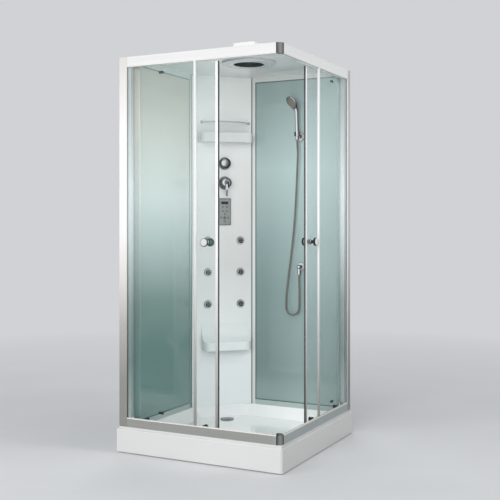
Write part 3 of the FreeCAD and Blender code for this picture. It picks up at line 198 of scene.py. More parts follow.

# Painted light and shade by height: plain gradients of a few stops, in metres and screen colours, standing
# in for how the light falls on each piece and how glass and chrome mirror the room. The post's are its
# face, its inner side (seam) and its adjusting strip.
post_painted_shades = [
    (0.15, (144, 141, 137)), (0.40, (148, 146, 142)), (0.70, (185, 180, 176)), (0.95, (227, 223, 217)),
    (1.20, (250, 248, 246)), (1.75, (250, 248, 246)), (2.15, (222, 218, 213)),
]
seam_painted_shades = [
    (0.15, (104, 113, 111)), (0.60, (110, 121, 120)), (0.95, (144, 154, 154)), (1.40, (192, 199, 199)),
    (2.15, (146, 156, 155)),
]
strip_painted_shades = [
    (0.20, (180, 194, 190)), (0.50, (140, 157, 156)), (0.80, (160, 173, 173)), (1.20, (226, 232, 235)),
    (1.45, (242, 246, 247)), (2.00, (196, 202, 202)),
]
profile_painted_shades = [
    (0.20, (143, 142, 140)), (0.60, (182, 180, 178)), (1.10, (232, 231, 230)), (1.30, (243, 242, 242)),
    (2.12, (243, 242, 242)),
]
column_painted_shades = [
    (0.15, (232, 238, 238)), (0.45, (232, 237, 237)), (1.00, (203, 204, 203)), (1.35, (209, 209, 208)),
    (2.10, (236, 240, 238)),
]
left_wall_painted_shades = [
    (0.30, (114, 144, 140)), (0.55, (108, 138, 134)), (0.82, (126, 144, 140)), (1.10, (176, 187, 186)),
    (1.40, (218, 223, 221)), (1.85, (220, 215, 207)), (2.05, (197, 193, 182)),
]
right_wall_painted_shades = [
    (0.20, (137, 157, 155)), (0.40, (120, 139, 138)), (0.85, (124, 145, 143)), (1.15, (138, 157, 157)),
    (1.58, (167, 187, 186)), (1.85, (150, 169, 168)),
]
glass_painted_reflection = [
    (0.15, (56, 92, 88)), (0.60, (60, 100, 95)), (0.80, (96, 140, 133)), (1.10, (165, 208, 200)),
    (1.60, (205, 238, 232)), (2.15, (205, 238, 232)),
]
right_glass_painted_reflection = [
    (0.15, (118, 150, 146)), (0.70, (140, 178, 173)), (1.00, (225, 245, 241)), (2.15, (238, 252, 249)),
]
lever_painted_reflection = [
    (1.41, (112, 114, 114)), (1.452, (122, 124, 124)), (1.468, (206, 208, 208)), (1.51, (236, 237, 238)),
]

# Painted reflections: shades by the way that a face looks, from away (-1) to straight along the finish's
# direction (1)
chrome_painted_reflection = [
    (-1.0, (140, 144, 144)), (-0.3, (52, 55, 56)), (0.0, (22, 24, 25)), (0.30, (30, 32, 33)),
    (0.55, (44, 46, 47)), (0.72, (92, 94, 95)), (0.83, (156, 158, 159)), (0.90, (232, 233, 234)),
    (1.0, (250, 250, 251)),
]
inner_knob_painted_reflection = [
    (-1.0, (120, 124, 124)), (0.0, (34, 37, 38)), (0.30, (52, 56, 57)), (0.50, (140, 160, 158)),
    (0.62, (84, 94, 94)), (0.85, (24, 27, 28)), (1.0, (20, 22, 23)),
]
jet_painted_reflection = [
    (-1.0, (80, 82, 83)), (0.0, (30, 31, 32)), (0.30, (84, 86, 87)), (0.55, (178, 180, 180)),
    (0.78, (226, 228, 228)), (1.0, (248, 249, 249)),
]
cap_painted_reflection = [
    (-1.0, (56, 58, 57)), (0.68, (52, 53, 52)), (0.82, (74, 75, 73)), (0.94, (120, 121, 118)),
    (1.0, (146, 146, 142)),
]


def tone(red, green, blue):
    """A screen colour, 0 to 255, as the linear values that materials take."""
    linear = []
    for value in (red, green, blue):
        share = value / 255
        linear.append(share / 12.92 if share <= 0.04045 else ((share + 0.055) / 1.055) ** 2.4)
    return (*linear, 1.0)


def set_camera():
    """The photograph's camera, level, with its horizon moved by a lens shift."""
    camera = bpy.data.objects.new("camera", bpy.data.cameras.new("camera"))
    bpy.context.scene.collection.objects.link(camera)
    camera.location = camera_place
    camera.rotation_euler = (math.radians(90), 0, math.radians(camera_turn))
    camera.data.sensor_width = camera_sensor
    camera.data.lens = camera_lens
    camera.data.shift_y = camera_shift
    bpy.context.scene.camera = camera


class Nodes:
    """A short way to build a material's node tree."""

    def __init__(self, name):
        self.material = bpy.data.materials.new(name)
        self.material.use_nodes = True
        self.tree = self.material.node_tree
        self.shader = self.tree.nodes["Principled BSDF"]

    def add(self, kind, **values):
        node = self.tree.nodes.new("ShaderNode" + kind)
        for key, value in values.items():
            setattr(node, key, value)
        return node

    def link(self, out, into):
        self.tree.links.new(out, into)

    def place(self, stretch=(1, 1, 1)):
        """The piece's own coordinates, so that a texture moves with it."""
        coordinates = self.add("TexCoord")
        mapping = self.add("Mapping")
        mapping.inputs["Scale"].default_value = stretch
        self.link(coordinates.outputs["Object"], mapping.inputs["Vector"])
        return mapping.outputs["Vector"]

    def axes(self):
        """The piece's own X, Y and Z."""
        split = self.add("SeparateXYZ")
        self.link(self.place(), split.inputs["Vector"])
        return split.outputs

    def noise(self, scale, detail=3.0, stretch=(1, 1, 1)):
        noise = self.add("TexNoise")
        noise.inputs["Scale"].default_value = scale
        noise.inputs["Detail"].default_value = detail
        self.link(self.place(stretch), noise.inputs["Vector"])
        return noise.outputs["Fac"]

    def span(self, value, low, high, start=0.3, end=0.7):
        """A value that runs from start to end, as one that runs from low to high."""
        ranged = self.add("MapRange")
        ranged.inputs["From Min"].default_value = start
        ranged.inputs["From Max"].default_value = end
        ranged.inputs["To Min"].default_value = low
        ranged.inputs["To Max"].default_value = high
        self.link(value, ranged.inputs["Value"])
        return ranged.outputs["Result"]

    def mix(self, factor, first, second):
        """A blend of two colours, each a socket or a screen colour."""
        mix = self.add("Mix", data_type="RGBA")
        self.link(factor, mix.inputs["Factor"])
        for socket, colour in ((mix.inputs["A"], first), (mix.inputs["B"], second)):
            if isinstance(colour, tuple):
                socket.default_value = tone(*colour)
            else:
                self.link(colour, socket)
        return mix.outputs["Result"]

    def pick(self, kind, first, second):
        """The larger or smaller of two values."""
        pick = self.add("Math", operation=kind)
        self.link(first, pick.inputs[0])
        self.link(second, pick.inputs[1])
        return pick.outputs["Value"]

    def size(self, value):
        """A value without its sign."""
        size = self.add("Math", operation="ABSOLUTE")
        self.link(value, size.inputs[0])
        return size.outputs["Value"]

    def past(self, value, limit):
        """One where a value is over its limit, and zero elsewhere."""
        over = self.add("Math", operation="GREATER_THAN")
        over.inputs[1].default_value = limit
        self.link(value, over.inputs[0])
        return over.outputs["Value"]

    def facing(self, way):
        """How far a face looks in one direction, from -1 to 1, in the piece's own axes."""
        facing = self.add("VectorMath", operation="DOT_PRODUCT")
        facing.inputs[1].default_value = Vector(way).normalized()
        self.link(self.add("TexCoord").outputs["Normal"], facing.inputs[0])
        return facing.outputs["Value"]

    def bump(self, height, strength, distance):
        bump = self.add("Bump")
        bump.inputs["Strength"].default_value = strength
        bump.inputs["Distance"].default_value = distance
        self.link(height, bump.inputs["Height"])
        self.link(bump.outputs["Normal"], self.shader.inputs["Normal"])

    def finish(self, colour, grain, glossy, rough, metallic=0.0, coat=0.0, coat_roughness=0.05):
        """Sets the shader: its colour, a roughness that varies with the grain, its metal and its coat."""
        inputs = self.shader.inputs
        self.link(colour, inputs["Base Color"])
        self.link(self.span(grain, glossy, rough), inputs["Roughness"])
        inputs["Metallic"].default_value = metallic
        inputs["Coat Weight"].default_value = coat
        inputs["Coat Roughness"].default_value = coat_roughness
        return self.material


def surface(name, low, high, roughness, metallic=0.0, grain=9.0, stretch=(1, 1, 1), coat=0.0, bump=0.0,
            bump_scale=400.0, spread=0.06):
    """A finish whose colour, gloss and relief all vary a little."""
    nodes = Nodes(name)
    cloud = nodes.noise(grain, stretch=stretch)
    if bump:
        nodes.bump(nodes.noise(bump_scale, 2.0, stretch), bump, relief)
    shade = nodes.mix(nodes.span(cloud, 0, 1), low, high)
    return nodes.finish(shade, cloud, roughness - spread, roughness + spread, metallic, coat)


def value_ramp(nodes, value, stops):
    """A colour that follows a value; stops are (value, colour), lowest first."""
    low = stops[0][0]
    reach = stops[-1][0] - low
    blend = nodes.add("ValToRGB")
    elements = blend.color_ramp.elements
    for index, (place, colour) in enumerate(stops):
        share = (place - low) / reach
        element = elements[index] if index < 2 else elements.new(share)
        element.position = share
        element.color = colour
    nodes.link(nodes.span(value, 0, 1, low, low + reach), blend.inputs["Fac"])
    return blend.outputs["Color"]


def height_ramp(nodes, stops):
    """A colour that follows the height."""
    return value_ramp(nodes, nodes.axes()["Z"], stops)


def painted_reflection_metal(name, stops, way, roughness, metallic):
    """Plated metal with a painted reflection: its shade follows the way a face looks, as a room mirrored in
    it would.
    """
    nodes = Nodes(name)
    cloud = nodes.noise(30.0)
    shade = value_ramp(nodes, nodes.facing(way), stops)
    shade = nodes.mix(nodes.span(cloud, 0, 0.08), shade, (128, 130, 131))
    return nodes.finish(shade, cloud, roughness - 0.03, roughness + 0.03, metallic)


def side_place(nodes, kind):
    """The smaller or larger of X and minus Y, which reads alike on both mirrored sides."""
    place = nodes.axes()
    back = nodes.add("Math", operation="MULTIPLY")
    back.inputs[1].default_value = -1
    nodes.link(place["Y"], back.inputs[0])
    return nodes.pick(kind, place["X"], back.outputs["Value"])


def wall_panes(name, left_stops, right_stops, border, roughness, coat):
    """Back-painted wall panes, dark along their edges; each wall has its own painted light, shade and
    reflection by height.
    """
    nodes = Nodes(name)
    place = nodes.axes()
    on_right = nodes.past(place["X"], border)
    shade = nodes.mix(on_right, height_ramp(nodes, left_stops), height_ramp(nodes, right_stops))
    # Painted light: the right wall is a little paler towards its front
    shade = nodes.mix(nodes.span(place["X"], 0, 0.16, 0.02, 0.34), shade, (225, 245, 242))
    edge = nodes.span(side_place(nodes, "MAXIMUM"), 1, 0, pane_near, pane_near + pane_edge)
    for line in ((1, 0, pane_low, pane_low + pane_edge), (0, 1, pane_high - pane_edge, pane_high)):
        edge = nodes.pick("MAXIMUM", edge, nodes.span(place["Z"], *line))
    shade = nodes.mix(edge, shade, (44, 64, 62))
    return nodes.finish(shade, nodes.noise(14.0), roughness - 0.01, roughness + 0.01, coat=coat,
                        coat_roughness=0.03)


def wall_profiles(name, left_stops, right_stops, border, front, plain):
    """The walls' painted profiles; the front ones, and the left upright beside the column, carry the
    painted light and shade of the panes beside them.
    """
    nodes = Nodes(name)
    place = nodes.axes()
    along = side_place(nodes, "MAXIMUM")
    left = height_ramp(nodes, left_stops)
    right = height_ramp(nodes, right_stops)
    on_right = nodes.past(place["X"], border)
    grain = nodes.noise(40.0)
    # Members along the pane's edges, the lowest one darker
    member = nodes.mix(nodes.past(place["Z"], pane_low), (172, 188, 183), plain)
    member = nodes.mix(nodes.span(grain, 0, 0.06), member, (150, 160, 158))
    # Front profiles in the panes' painted shades by height, with more painted shade on the left and painted
    # light on the right
    left_painted_shade = nodes.mix(nodes.span(grain, 0.22, 0.30), left, (96, 108, 106))
    right_painted_light = nodes.mix(nodes.span(grain, 0.32, 0.40), right, (238, 248, 246))
    # Uprights beside the column, the left one in the left pane's painted shades, with a dark line along it
    upright = nodes.mix(on_right, left, plain)
    near = nodes.mix(nodes.span(along, 0, 1, near_line, near_line + pane_edge), (78, 88, 87), upright)
    inner = nodes.mix(nodes.past(along, pane_near), near, member)
    shade = nodes.mix(nodes.past(along, front), inner, nodes.mix(on_right, left_painted_shade, right_painted_light))
    return nodes.finish(shade, grain, 0.28, 0.38)


def graded(name, post_stops, seam_stops, strip_stops, roughness, metallic):
    """Posts with painted light and shade by height: the face, its darker inner side, and the adjusting
    strip.
    """
    nodes = Nodes(name)
    place = nodes.axes()
    along = side_place(nodes, "MAXIMUM")
    # Painted light: the right post's inner side is nearly white; the left one's keeps its painted shades by
    # height
    seam = nodes.mix(nodes.span(place["X"], 0, 0.95, -0.1, 0.1), height_ramp(nodes, seam_stops),
                     (250, 252, 252))
    # Painted shade, tinted like the pane behind the strip, on the strip's part nearer that pane
    strip = nodes.mix(nodes.span(along, 0.3, 0, tint_line, tint_line + tint_fade),
                      height_ramp(nodes, strip_stops), (96, 124, 122))
    inner = nodes.mix(nodes.past(along, seam_line), strip, seam)
    # Painted shade: the right post darkens on its far part
    face = nodes.mix(nodes.span(place["Y"], 0, 0.5, far_line, far_line + far_fade),
                     height_ramp(nodes, post_stops), (104, 109, 114))
    shade = nodes.mix(nodes.past(side_place(nodes, "MINIMUM"), strip_line), face, inner)
    lines = nodes.noise(9.0, stretch=(90, 90, 0.3))
    shade = nodes.mix(nodes.span(lines, 0, 0.04), shade, (150, 150, 148))
    return nodes.finish(shade, lines, roughness - 0.03, roughness + 0.03, metallic)


def lipped(name, grey, pale, right_painted_tint, lip_highlight, height, roughness, metallic):
    """A rail in painted shade, with a painted highlight along its upper edge; the right one's face has a
    painted cooler tint.
    """
    nodes = Nodes(name)
    place = nodes.axes()
    lines = nodes.noise(3.0, stretch=(0.6, 0.6, 40))
    face = nodes.mix(nodes.span(lines, 0, 1), grey, pale)
    face = nodes.mix(nodes.span(place["X"], 0, 0.4, 0.44, 0.46), face, right_painted_tint)
    face = nodes.mix(nodes.past(place["Z"], height), face, lip_highlight)
    return nodes.finish(face, lines, roughness - 0.05, roughness + 0.06, metallic)


def height_surface(name, stops, roughness, coat):
    """A moulded or painted piece with painted light and shade that follow the height."""
    nodes = Nodes(name)
    cloud = nodes.noise(2.5)
    shade = nodes.mix(nodes.span(cloud, 0, 0.04), height_ramp(nodes, stops), (190, 194, 193))
    return nodes.finish(shade, cloud, roughness - 0.04, roughness + 0.04, coat=coat)


def tray_finish(name, apron, side, inside, edge, roughness):
    """White acrylic with painted light and shade: brightest inside, greyer on the outer skirt, and darker
    still on the skirt's +X side.
    """
    nodes = Nodes(name)
    place = nodes.axes()
    far = nodes.pick("MAXIMUM", nodes.size(place["X"]), nodes.size(place["Y"]))
    cloud = nodes.noise(4.0)
    skirt = nodes.mix(nodes.past(place["X"], edge), apron, side)
    white = nodes.mix(nodes.past(far, edge), inside, skirt)
    white = nodes.mix(nodes.span(cloud, 0, 0.06), white, (255, 255, 255))
    return nodes.finish(white, cloud, roughness - 0.05, roughness + 0.05, coat=0.6)


def clear_glass(name, stops, edge, across, veil):
    """A clear pane: see-through on its faces, which look across it and carry a painted reflection by
    height, and greener at its cut edges.
    """
    nodes = Nodes(name)
    nodes.shader.inputs["Alpha"].default_value = veil
    nodes.shader.inputs["IOR"].default_value = 1.5
    nodes.material.surface_render_method = "BLENDED"
    on_face = nodes.past(nodes.size(nodes.facing(across)), 0.5)
    shade = nodes.mix(on_face, edge, height_ramp(nodes, stops))
    return nodes.finish(shade, nodes.noise(5.0), 0.01, 0.05)


def two_part(name, axis, limit, stops, seal, seal_past, roughness):
    """A door's leading profile, in painted light and shade by height, and, on one side of a place along an
    axis, its dark seal.
    """
    nodes = Nodes(name)
    shade = height_ramp(nodes, stops)
    pair = (shade, seal) if seal_past else (seal, shade)
    both = nodes.mix(nodes.past(nodes.axes()[axis], limit), *pair)
    return nodes.finish(both, nodes.noise(60.0), roughness - 0.05, roughness + 0.08)


def mesh_piece(name, points, faces, finish, sharp=40):
    """A smooth-shaded piece; edges past an angle in degrees stay sharp."""
    mesh = bpy.data.meshes.new(name)
    mesh.from_pydata([tuple(p) for p in points], [], faces)
    mesh.update()
    piece = bpy.data.objects.new(name, mesh)
    bpy.context.scene.collection.objects.link(piece)
    mesh.materials.append(finish)
    for polygon in mesh.polygons:
        polygon.use_smooth = True
    mesh.set_sharp_from_angle(angle=math.radians(sharp))
    return piece


def across_axis(way):
    """A direction at unit length, and two more that are square to it and to each other."""
    way = Vector(way).normalized()
    side = way.cross(Vector((0, 0, 1)))
    if side.length < 0.01:
        side = Vector((1, 0, 0))
    side.normalize()
    return way, side, way.cross(side).normalized()


def rings_mesh(name, rings, finish, sharp):
    """Joins rings of points with the same count into one skin, closed at both ends."""
    count = len(rings[0])
    points = [point for ring in rings for point in ring]
    last = len(points) - count
    faces = []
    for first in range(0, last, count):
        for step in range(count):
            after = (step + 1) % count
            faces.append((first + step, first + after, first + count + after, first + count + step))
    faces.append(tuple(reversed(range(count))))
    faces.append(tuple(range(last, last + count)))
    return mesh_piece(name, points, faces, finish, sharp)


def circle(centre, side, up, radius, count):
    """A ring of points around a centre, in the plane of two directions."""
    turns = [2 * math.pi * step / count for step in range(count)]
    return [centre + side * (radius * math.cos(turn)) + up * (radius * math.sin(turn)) for turn in turns]


def lathe(name, start, way, profile, finish, segments):
    """A turned piece: profile holds (radius, distance along the axis) from its start point."""
    way, side, up = across_axis(way)
    rings = []
    for radius, distance in profile:
        rings.append(circle(start + way * distance, side, up, max(radius, least_radius), segments))
    return rings_mesh(name, rings, finish, 35)


def sweep(name, centres, radii, finish, segments, sharp):
    """A round bar along a path, whose thickness changes on the way."""
    rings = []
    side = None
    for index, centre in enumerate(centres):
        before = centres[max(index - 1, 0)]
        after = centres[min(index + 1, len(centres) - 1)]
        way = (after - before).normalized()
        if side is None:
            side = across_axis(way)[1]
        side = (side - way * side.dot(way)).normalized()
        rings.append(circle(centre, side, way.cross(side), radii[index], segments))
    return rings_mesh(name, rings, finish, sharp)


def on_column(along, out, up):
    """A point on the diagonal column: along its face, out into the cabin, and up."""
    share = math.cos(column_turn)
    return Vector(((along + out) * share - column_centre, (along - out) * share + column_centre, up))


out_way = Vector((math.cos(column_turn), -math.sin(column_turn), 0))
along_way = Vector((math.cos(column_turn), math.sin(column_turn), 0))


def smooth_path(points, steps):
    """A smooth line near a few points, read from a curve through them."""
    curve = bpy.data.curves.new("path", "CURVE")
    curve.dimensions = "3D"
    spline = curve.splines.new("NURBS")
    spline.points.add(len(points) - 1)
    for point, place in zip(spline.points, points):
        point.co = (*place, 1.0)
    spline.order_u = 3
    spline.use_endpoint_u = True
    spline.resolution_u = steps
    holder = bpy.data.objects.new("path", curve)
    bpy.context.scene.collection.objects.link(holder)
    bpy.context.view_layer.update()
    mesh = bpy.data.meshes.new_from_object(holder.evaluated_get(bpy.context.evaluated_depsgraph_get()))
    line = [v.co.copy() for v in mesh.vertices]
    bpy.data.meshes.remove(mesh)
    bpy.data.objects.remove(holder)
    bpy.data.curves.remove(curve)
    return line


def evenly(line, step):
    """Points along a line, about the given distance apart, and the line's length."""
    line = np.array([tuple(p) for p in line])
    reach = np.concatenate([[0], np.cumsum(np.linalg.norm(np.diff(line, axis=0), axis=1))])
    count = int(round(reach[-1] / step))
    marks = np.linspace(0, reach[-1], count + 1)
    places = np.stack([np.interp(marks, reach, line[:, axis]) for axis in range(3)], axis=1)
    return [Vector(place) for place in places], reach[-1]


def ramp(shades, strength=1.0):
    """A table of places and screen colours as the stops of a ramp, paler or darker by a share."""
    return [(place, tone(*[value * strength for value in colour])) for place, colour in shades]


def make_finishes():
    """Every finish of the cabin, by name."""
    wall_painted_shades = (ramp(left_wall_painted_shades), ramp(right_wall_painted_shades))
    # The doors' leading profiles take a paler copy of the profiles' painted shades
    leading = ramp(profile_painted_shades, 1.03)
    return {
        # Tray: painted light inside, painted shade on the skirt, darkest on its +X side
        "tray": tray_finish("tray_acrylic", (222, 222, 221), (208, 208, 206), (238, 241, 240),
                            skirt_edge, 0.16),
        # Top rails: painted light makes the aluminium near white; the low rails are the same metal in
        # painted shade
        "rail": surface("frame_aluminium", (226, 226, 224), (234, 233, 231), 0.36, metallic=0.1,
                        grain=3.0, stretch=(0.6, 0.6, 40), bump=0.05, bump_scale=60.0),
        # Low rails: painted shade, with a painted highlight above lip_height and a painted cooler tint on
        # the right
        "low_rail": lipped("low_rail_aluminium", (152, 152, 149), (160, 160, 157), (164, 184, 188),
                           (246, 242, 237), lip_height, 0.34, 0.2),
        "post": graded("post_aluminium", ramp(post_painted_shades), ramp(seam_painted_shades), ramp(strip_painted_shades), 0.36,
                       0.1),
        # The fixed panes' profiles take a darker copy of the profiles' painted shades
        "white": height_surface("white_profile", ramp(profile_painted_shades, 0.95), 0.3, 0.2),
        # Chrome with painted reflections, shaded by how far each face looks along its given way
        "chrome": painted_reflection_metal("chrome_plate", ramp(chrome_painted_reflection), (0.15, -0.95, 0.1), 0.12, 0.6),
        "side_chrome": painted_reflection_metal("side_chrome_plate", ramp(chrome_painted_reflection), (0.95, -0.15, 0.1), 0.12, 0.6),
        "inner_knob": painted_reflection_metal("inner_knob_chrome", ramp(inner_knob_painted_reflection), (0.0, -1.0, 0.0), 0.12, 0.6),
        "jet": painted_reflection_metal("jet_chrome", ramp(jet_painted_reflection), (0.849, -0.283, -0.4), 0.2, 0.6),
        "cap": painted_reflection_metal("cap_chrome", ramp(cap_painted_reflection), (0.7071, -0.7071, 0.0), 0.22, 0.5),
        "nozzle": surface("nozzle_chrome", (84, 83, 80), (104, 103, 100), 0.3, metallic=0.6,
                          grain=60.0, spread=0.05),
        # Lever: painted reflection by height, dark below and bright above
        "lever": height_surface("lever_chrome", ramp(lever_painted_reflection), 0.16, 0.4),
        "guard": surface("guard_chrome", (196, 198, 198), (210, 211, 211), 0.16, metallic=0.5,
                         grain=40.0, spread=0.04),
        "soft_chrome": surface("satin_chrome", (170, 172, 172), (192, 193, 193), 0.26, metallic=1.0,
                               grain=40.0, spread=0.05),
        "hose": surface("hose_steel", (126, 122, 116), (142, 138, 131), 0.38, metallic=0.75,
                        grain=15.0),
        "black": surface("black_nylon", (26, 28, 30), (40, 42, 44), 0.45, grain=80.0, bump=0.1),
        "rubber": surface("dark_rubber", (44, 46, 48), (62, 63, 65), 0.55, grain=60.0, bump=0.15),
        # Column: painted light and shade by height
        "column": height_surface("column_acrylic", ramp(column_painted_shades), 0.2, 0.5),
        "ledge": surface("ledge_acrylic", (212, 220, 219), (220, 227, 225), 0.22, coat=0.5, grain=3.0),
        "shelf": surface("shelf_acrylic", (199, 202, 201), (208, 210, 209), 0.2, coat=0.5, grain=5.0),
        "roof": surface("roof_plastic", (207, 210, 209), (217, 219, 218), 0.24, coat=0.4, grain=3.0),
        "ring": surface("ring_plastic", (176, 180, 181), (190, 193, 194), 0.2, coat=0.5, grain=8.0),
        "zinc": surface("zinc_steel", (140, 143, 146), (168, 170, 172), 0.42, metallic=0.85, grain=25.0),
        "foot": surface("foot_plastic", (30, 30, 31), (40, 40, 41), 0.6, grain=90.0, bump=0.15),
        "drain": surface("drain_plastic", (214, 214, 211), (224, 224, 221), 0.4, grain=20.0),
        "drain_cover": surface("drain_cover_metal", (112, 116, 118), (138, 142, 144), 0.24,
                               metallic=0.9, grain=40.0),
        "panel": surface("panel_grey", (98, 102, 100), (108, 112, 110), 0.4, grain=150.0, bump=0.08),
        "panel_film": surface("panel_film", (128, 133, 131), (137, 142, 140), 0.32, grain=60.0),
        "spray_face": surface("spray_face", (122, 117, 110), (136, 131, 124), 0.4, grain=120.0,
                              bump=0.06),
        "key": surface("key_film", (90, 95, 93), (101, 106, 104), 0.36, grain=90.0),
        "display": surface("display_glass", (10, 11, 12), (16, 17, 18), 0.08, grain=20.0, coat=0.8,
                           spread=0.02),
        "fan": surface("fan_plastic", (52, 54, 56), (66, 68, 70), 0.5, grain=50.0, bump=0.08),
        "fan_box": surface("fan_housing", (240, 239, 235), (246, 245, 242), 0.45, grain=60.0,
                           bump=0.05),
        "brass": surface("pipe_brass", (172, 140, 84), (190, 158, 100), 0.3, metallic=1.0, grain=30.0),
        "wall": wall_panes("wall_glass", *wall_painted_shades, wall_border, 0.07, 0.5),
        "wall_profile": wall_profiles("wall_profile", *wall_painted_shades, wall_border, wall_front, (214, 218, 216)),
        "fixed_glass": clear_glass("clear_glass_fixed", ramp(glass_painted_reflection), glass_edge, (1, -1, 0), 0.05),
        "left_glass": clear_glass("clear_glass_left", ramp(glass_painted_reflection), glass_edge, (0, 1, 0), 0.07),
        "right_glass": clear_glass("clear_glass_right", ramp(right_glass_painted_reflection), glass_edge, (1, 0, 0),
                                   0.11),
        "left_profile": two_part("left_profile", "X", seal_line, leading, seal_tone, True, 0.3),
        "right_profile": two_part("right_profile", "Y", -seal_line, leading, seal_tone, False, 0.3),
    }


def dress_nodes(finish):
    """Gives each construction node its finish, and a small soft edge where it has sharp ones."""
    looks = {
        "tray": "tray", "support_frame": "zinc", "levelling_feet": "foot", "drain_trap": "drain",
        "drain_cover": "drain_cover", "column_panel": "column", "column_frame": "zinc",
        "upper_shelf": "shelf", "shelf_rail": "guard", "foot_ledge": "ledge", "wall_frames": "wall_profile",
        "wall_glass": "wall", "pane_stops": "black", "corner_posts": "post", "top_rails": "rail",
        "bottom_rails": "low_rail", "corner_caps": "cap", "fixed_glass": "fixed_glass",
        "fixed_glass_profiles": "white", "roof_shell": "roof", "rain_shower_ring": "ring",
        "fan_grille": "fan", "fan_box": "fan_box", "fan_rotor": "fan", "mixer_lever": "lever",
        "control_panel": "panel", "control_overlay": "panel_film", "jet_bodies": "soft_chrome",
        "shower_hose": "soft_chrome", "supply_pipes": "brass",
    }
    for name in ("mixer_body", "mixer_cap", "diverter_body", "diverter_knob", "hose_outlet",
                 "handset_bracket", "handset_clip", "handset"):
        looks[name] = "chrome"
    for index in range(1, 7):
        looks["jet_nozzle_%d" % index] = "nozzle"
    for side in ("left", "right"):
        looks[side + "_door_glass"] = side + "_glass"
        looks[side + "_door_profile"] = side + "_profile"
        looks[side + "_door_knob"] = knob_finish[side]
        looks[side + "_door_carriers"] = "black"
        for number in range(1, 5):
            looks["%s_door_wheel_%d" % (side, number)] = "black"
    soft = {
        "corner_posts", "top_rails", "bottom_rails", "wall_frames", "fixed_glass_profiles", "control_panel",
        "upper_shelf", "roof_shell", "fan_box",
    }
    for name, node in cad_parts.items():
        node.data.materials.clear()
        node.data.materials.append(finish[looks[name]])
        if name in soft:
            bevel = node.modifiers.new("soft edge", "BEVEL")
            bevel.width = soft_edge
            bevel.segments = 2
            bevel.limit_method = "ANGLE"
            bevel.angle_limit = soft_angle


def make_hose(finish):
    """The ribbed hose, swept along its route."""
    line = smooth_path(hose_points, 24)
    centres, length = evenly(line, hose_rib / 2)
    radius = hose_diameter / 2
    radii = [radius if index % 2 else radius - hose_groove for index in range(len(centres))]
    hose = sweep("hose", centres, radii, finish["hose"], segments=16, sharp=80)
    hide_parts("shower_hose")
    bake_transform(hose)


def make_handset(finish):
    """A slim handle that bends forward into a wide, shallow round head, and the hose nut at its foot."""
    foot = Vector(handset_foot)
    bend = Vector(handset_bend)
    head_centre = Vector(handset_head)
    way = (bend - foot).normalized()
    level = math.cos(handset_face_drop)
    face_way = Vector((-math.sin(handset_face_turn) * level, -math.cos(handset_face_turn) * level,
                       -math.sin(handset_face_drop)))
    back = handset_head_thickness / 2
    neck = head_centre - face_way * (back - 0.002)
    grip = (bend - foot).length
    # Straight up the handle, then over to the back of the head
    line = smooth_path([
        foot, foot + way * 0.05, foot + way * 0.09, bend, bend + way * 0.024,
        neck + (bend + way * 0.03 - neck) * 0.42, neck,
    ], 12)
    centres, length = evenly(line, 0.0025)
    widening = handset_grip_radius - handset_foot_radius
    radii = []
    for index in range(len(centres)):
        share = index * length / (len(centres) - 1)
        if share < grip_start:
            radius = handset_foot_radius + widening * share / grip_start
        elif share < grip:
            turn = math.pi * (share - grip_start) / (grip - grip_start)
            radius = handset_grip_radius - grip_waist * math.sin(turn)
        else:
            radius = handset_grip_radius + grip_flare * ((share - grip) / (length - grip)) ** 2
        radii.append(radius)
    handle = sweep("handset_handle", centres, radii, finish["chrome"], segments=32, sharp=60)
    rim = handset_head_radius
    head = lathe("handset_head", head_centre - face_way * back, face_way, [
        (0.0, 0.0), (0.012, 0.0003), (0.022, 0.0016), (0.031, 0.0048), (0.0375, 0.0088),
        (rim - 0.0008, 0.0125), (rim, 0.0150), (rim - 0.0006, 0.0176), (rim - 0.0022, 0.0196),
        (rim - 0.0042, 0.0200), (rim - 0.0056, 0.0192), (rim - 0.0060, 0.0176), (0.0, 0.0176),
    ], finish["chrome"], segments=64)
    plate = lathe("handset_plate", head_centre - face_way * back, face_way, [
        (0.0, 0.0170), (rim - 0.0061, 0.0170), (rim - 0.0064, 0.0184), (0.024, 0.0192), (0.0, 0.0195),
    ], finish["spray_face"], segments=64)
    nozzles = []
    side, up = across_axis(face_way)[1:]
    for ring, count in spray_rings:
        for index in range(count):
            angle = 2 * math.pi * (index + 0.5 * (count % 4)) / count
            middle = head_centre + side * (ring * math.cos(angle)) + up * (ring * math.sin(angle))
            nozzles.append(middle + face_way * (0.0188 - back))
    tips = studs("handset_nozzles", nozzles, face_way, 0.0009, 0.0014, finish["rubber"])
    nut = lathe("handset_nut", foot - way * nut_length, way, [
        (0.0070, 0.0), (nut_radius - 0.0008, 0.0), (nut_radius, 0.0010), (nut_radius, 0.0060),
        (nut_radius - 0.0007, 0.0068), (nut_radius - 0.0007, 0.0076), (nut_radius, 0.0084),
        (nut_radius, nut_length - 0.0012), (nut_radius - 0.0012, nut_length), (0.0, nut_length),
    ], finish["chrome"], segments=40)
    for piece in (handle, head, plate, tips, nut):
        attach(piece, "hand_shower")
    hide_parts("handset")


def studs(name, places, way, radius, height, finish):
    """Small round studs standing along one direction, joined in one piece."""
    way, side, up = across_axis(way)
    points = []
    faces = []
    segments = 8
    for place in places:
        first = len(points)
        for share, rise in ((1.0, 0.0), (1.0, 0.7), (0.7, 1.0)):
            points.extend(circle(place + way * (height * rise), side, up, radius * share, segments))
        last = first + 2 * segments
        for low in (first, first + segments):
            for step in range(segments):
                after = (step + 1) % segments
                faces.append((low + step, low + after, low + segments + after, low + segments + step))
        faces.append(tuple(range(last, last + segments)))
        faces.append(tuple(reversed(range(first, first + segments))))
    return mesh_piece(name, points, faces, finish)


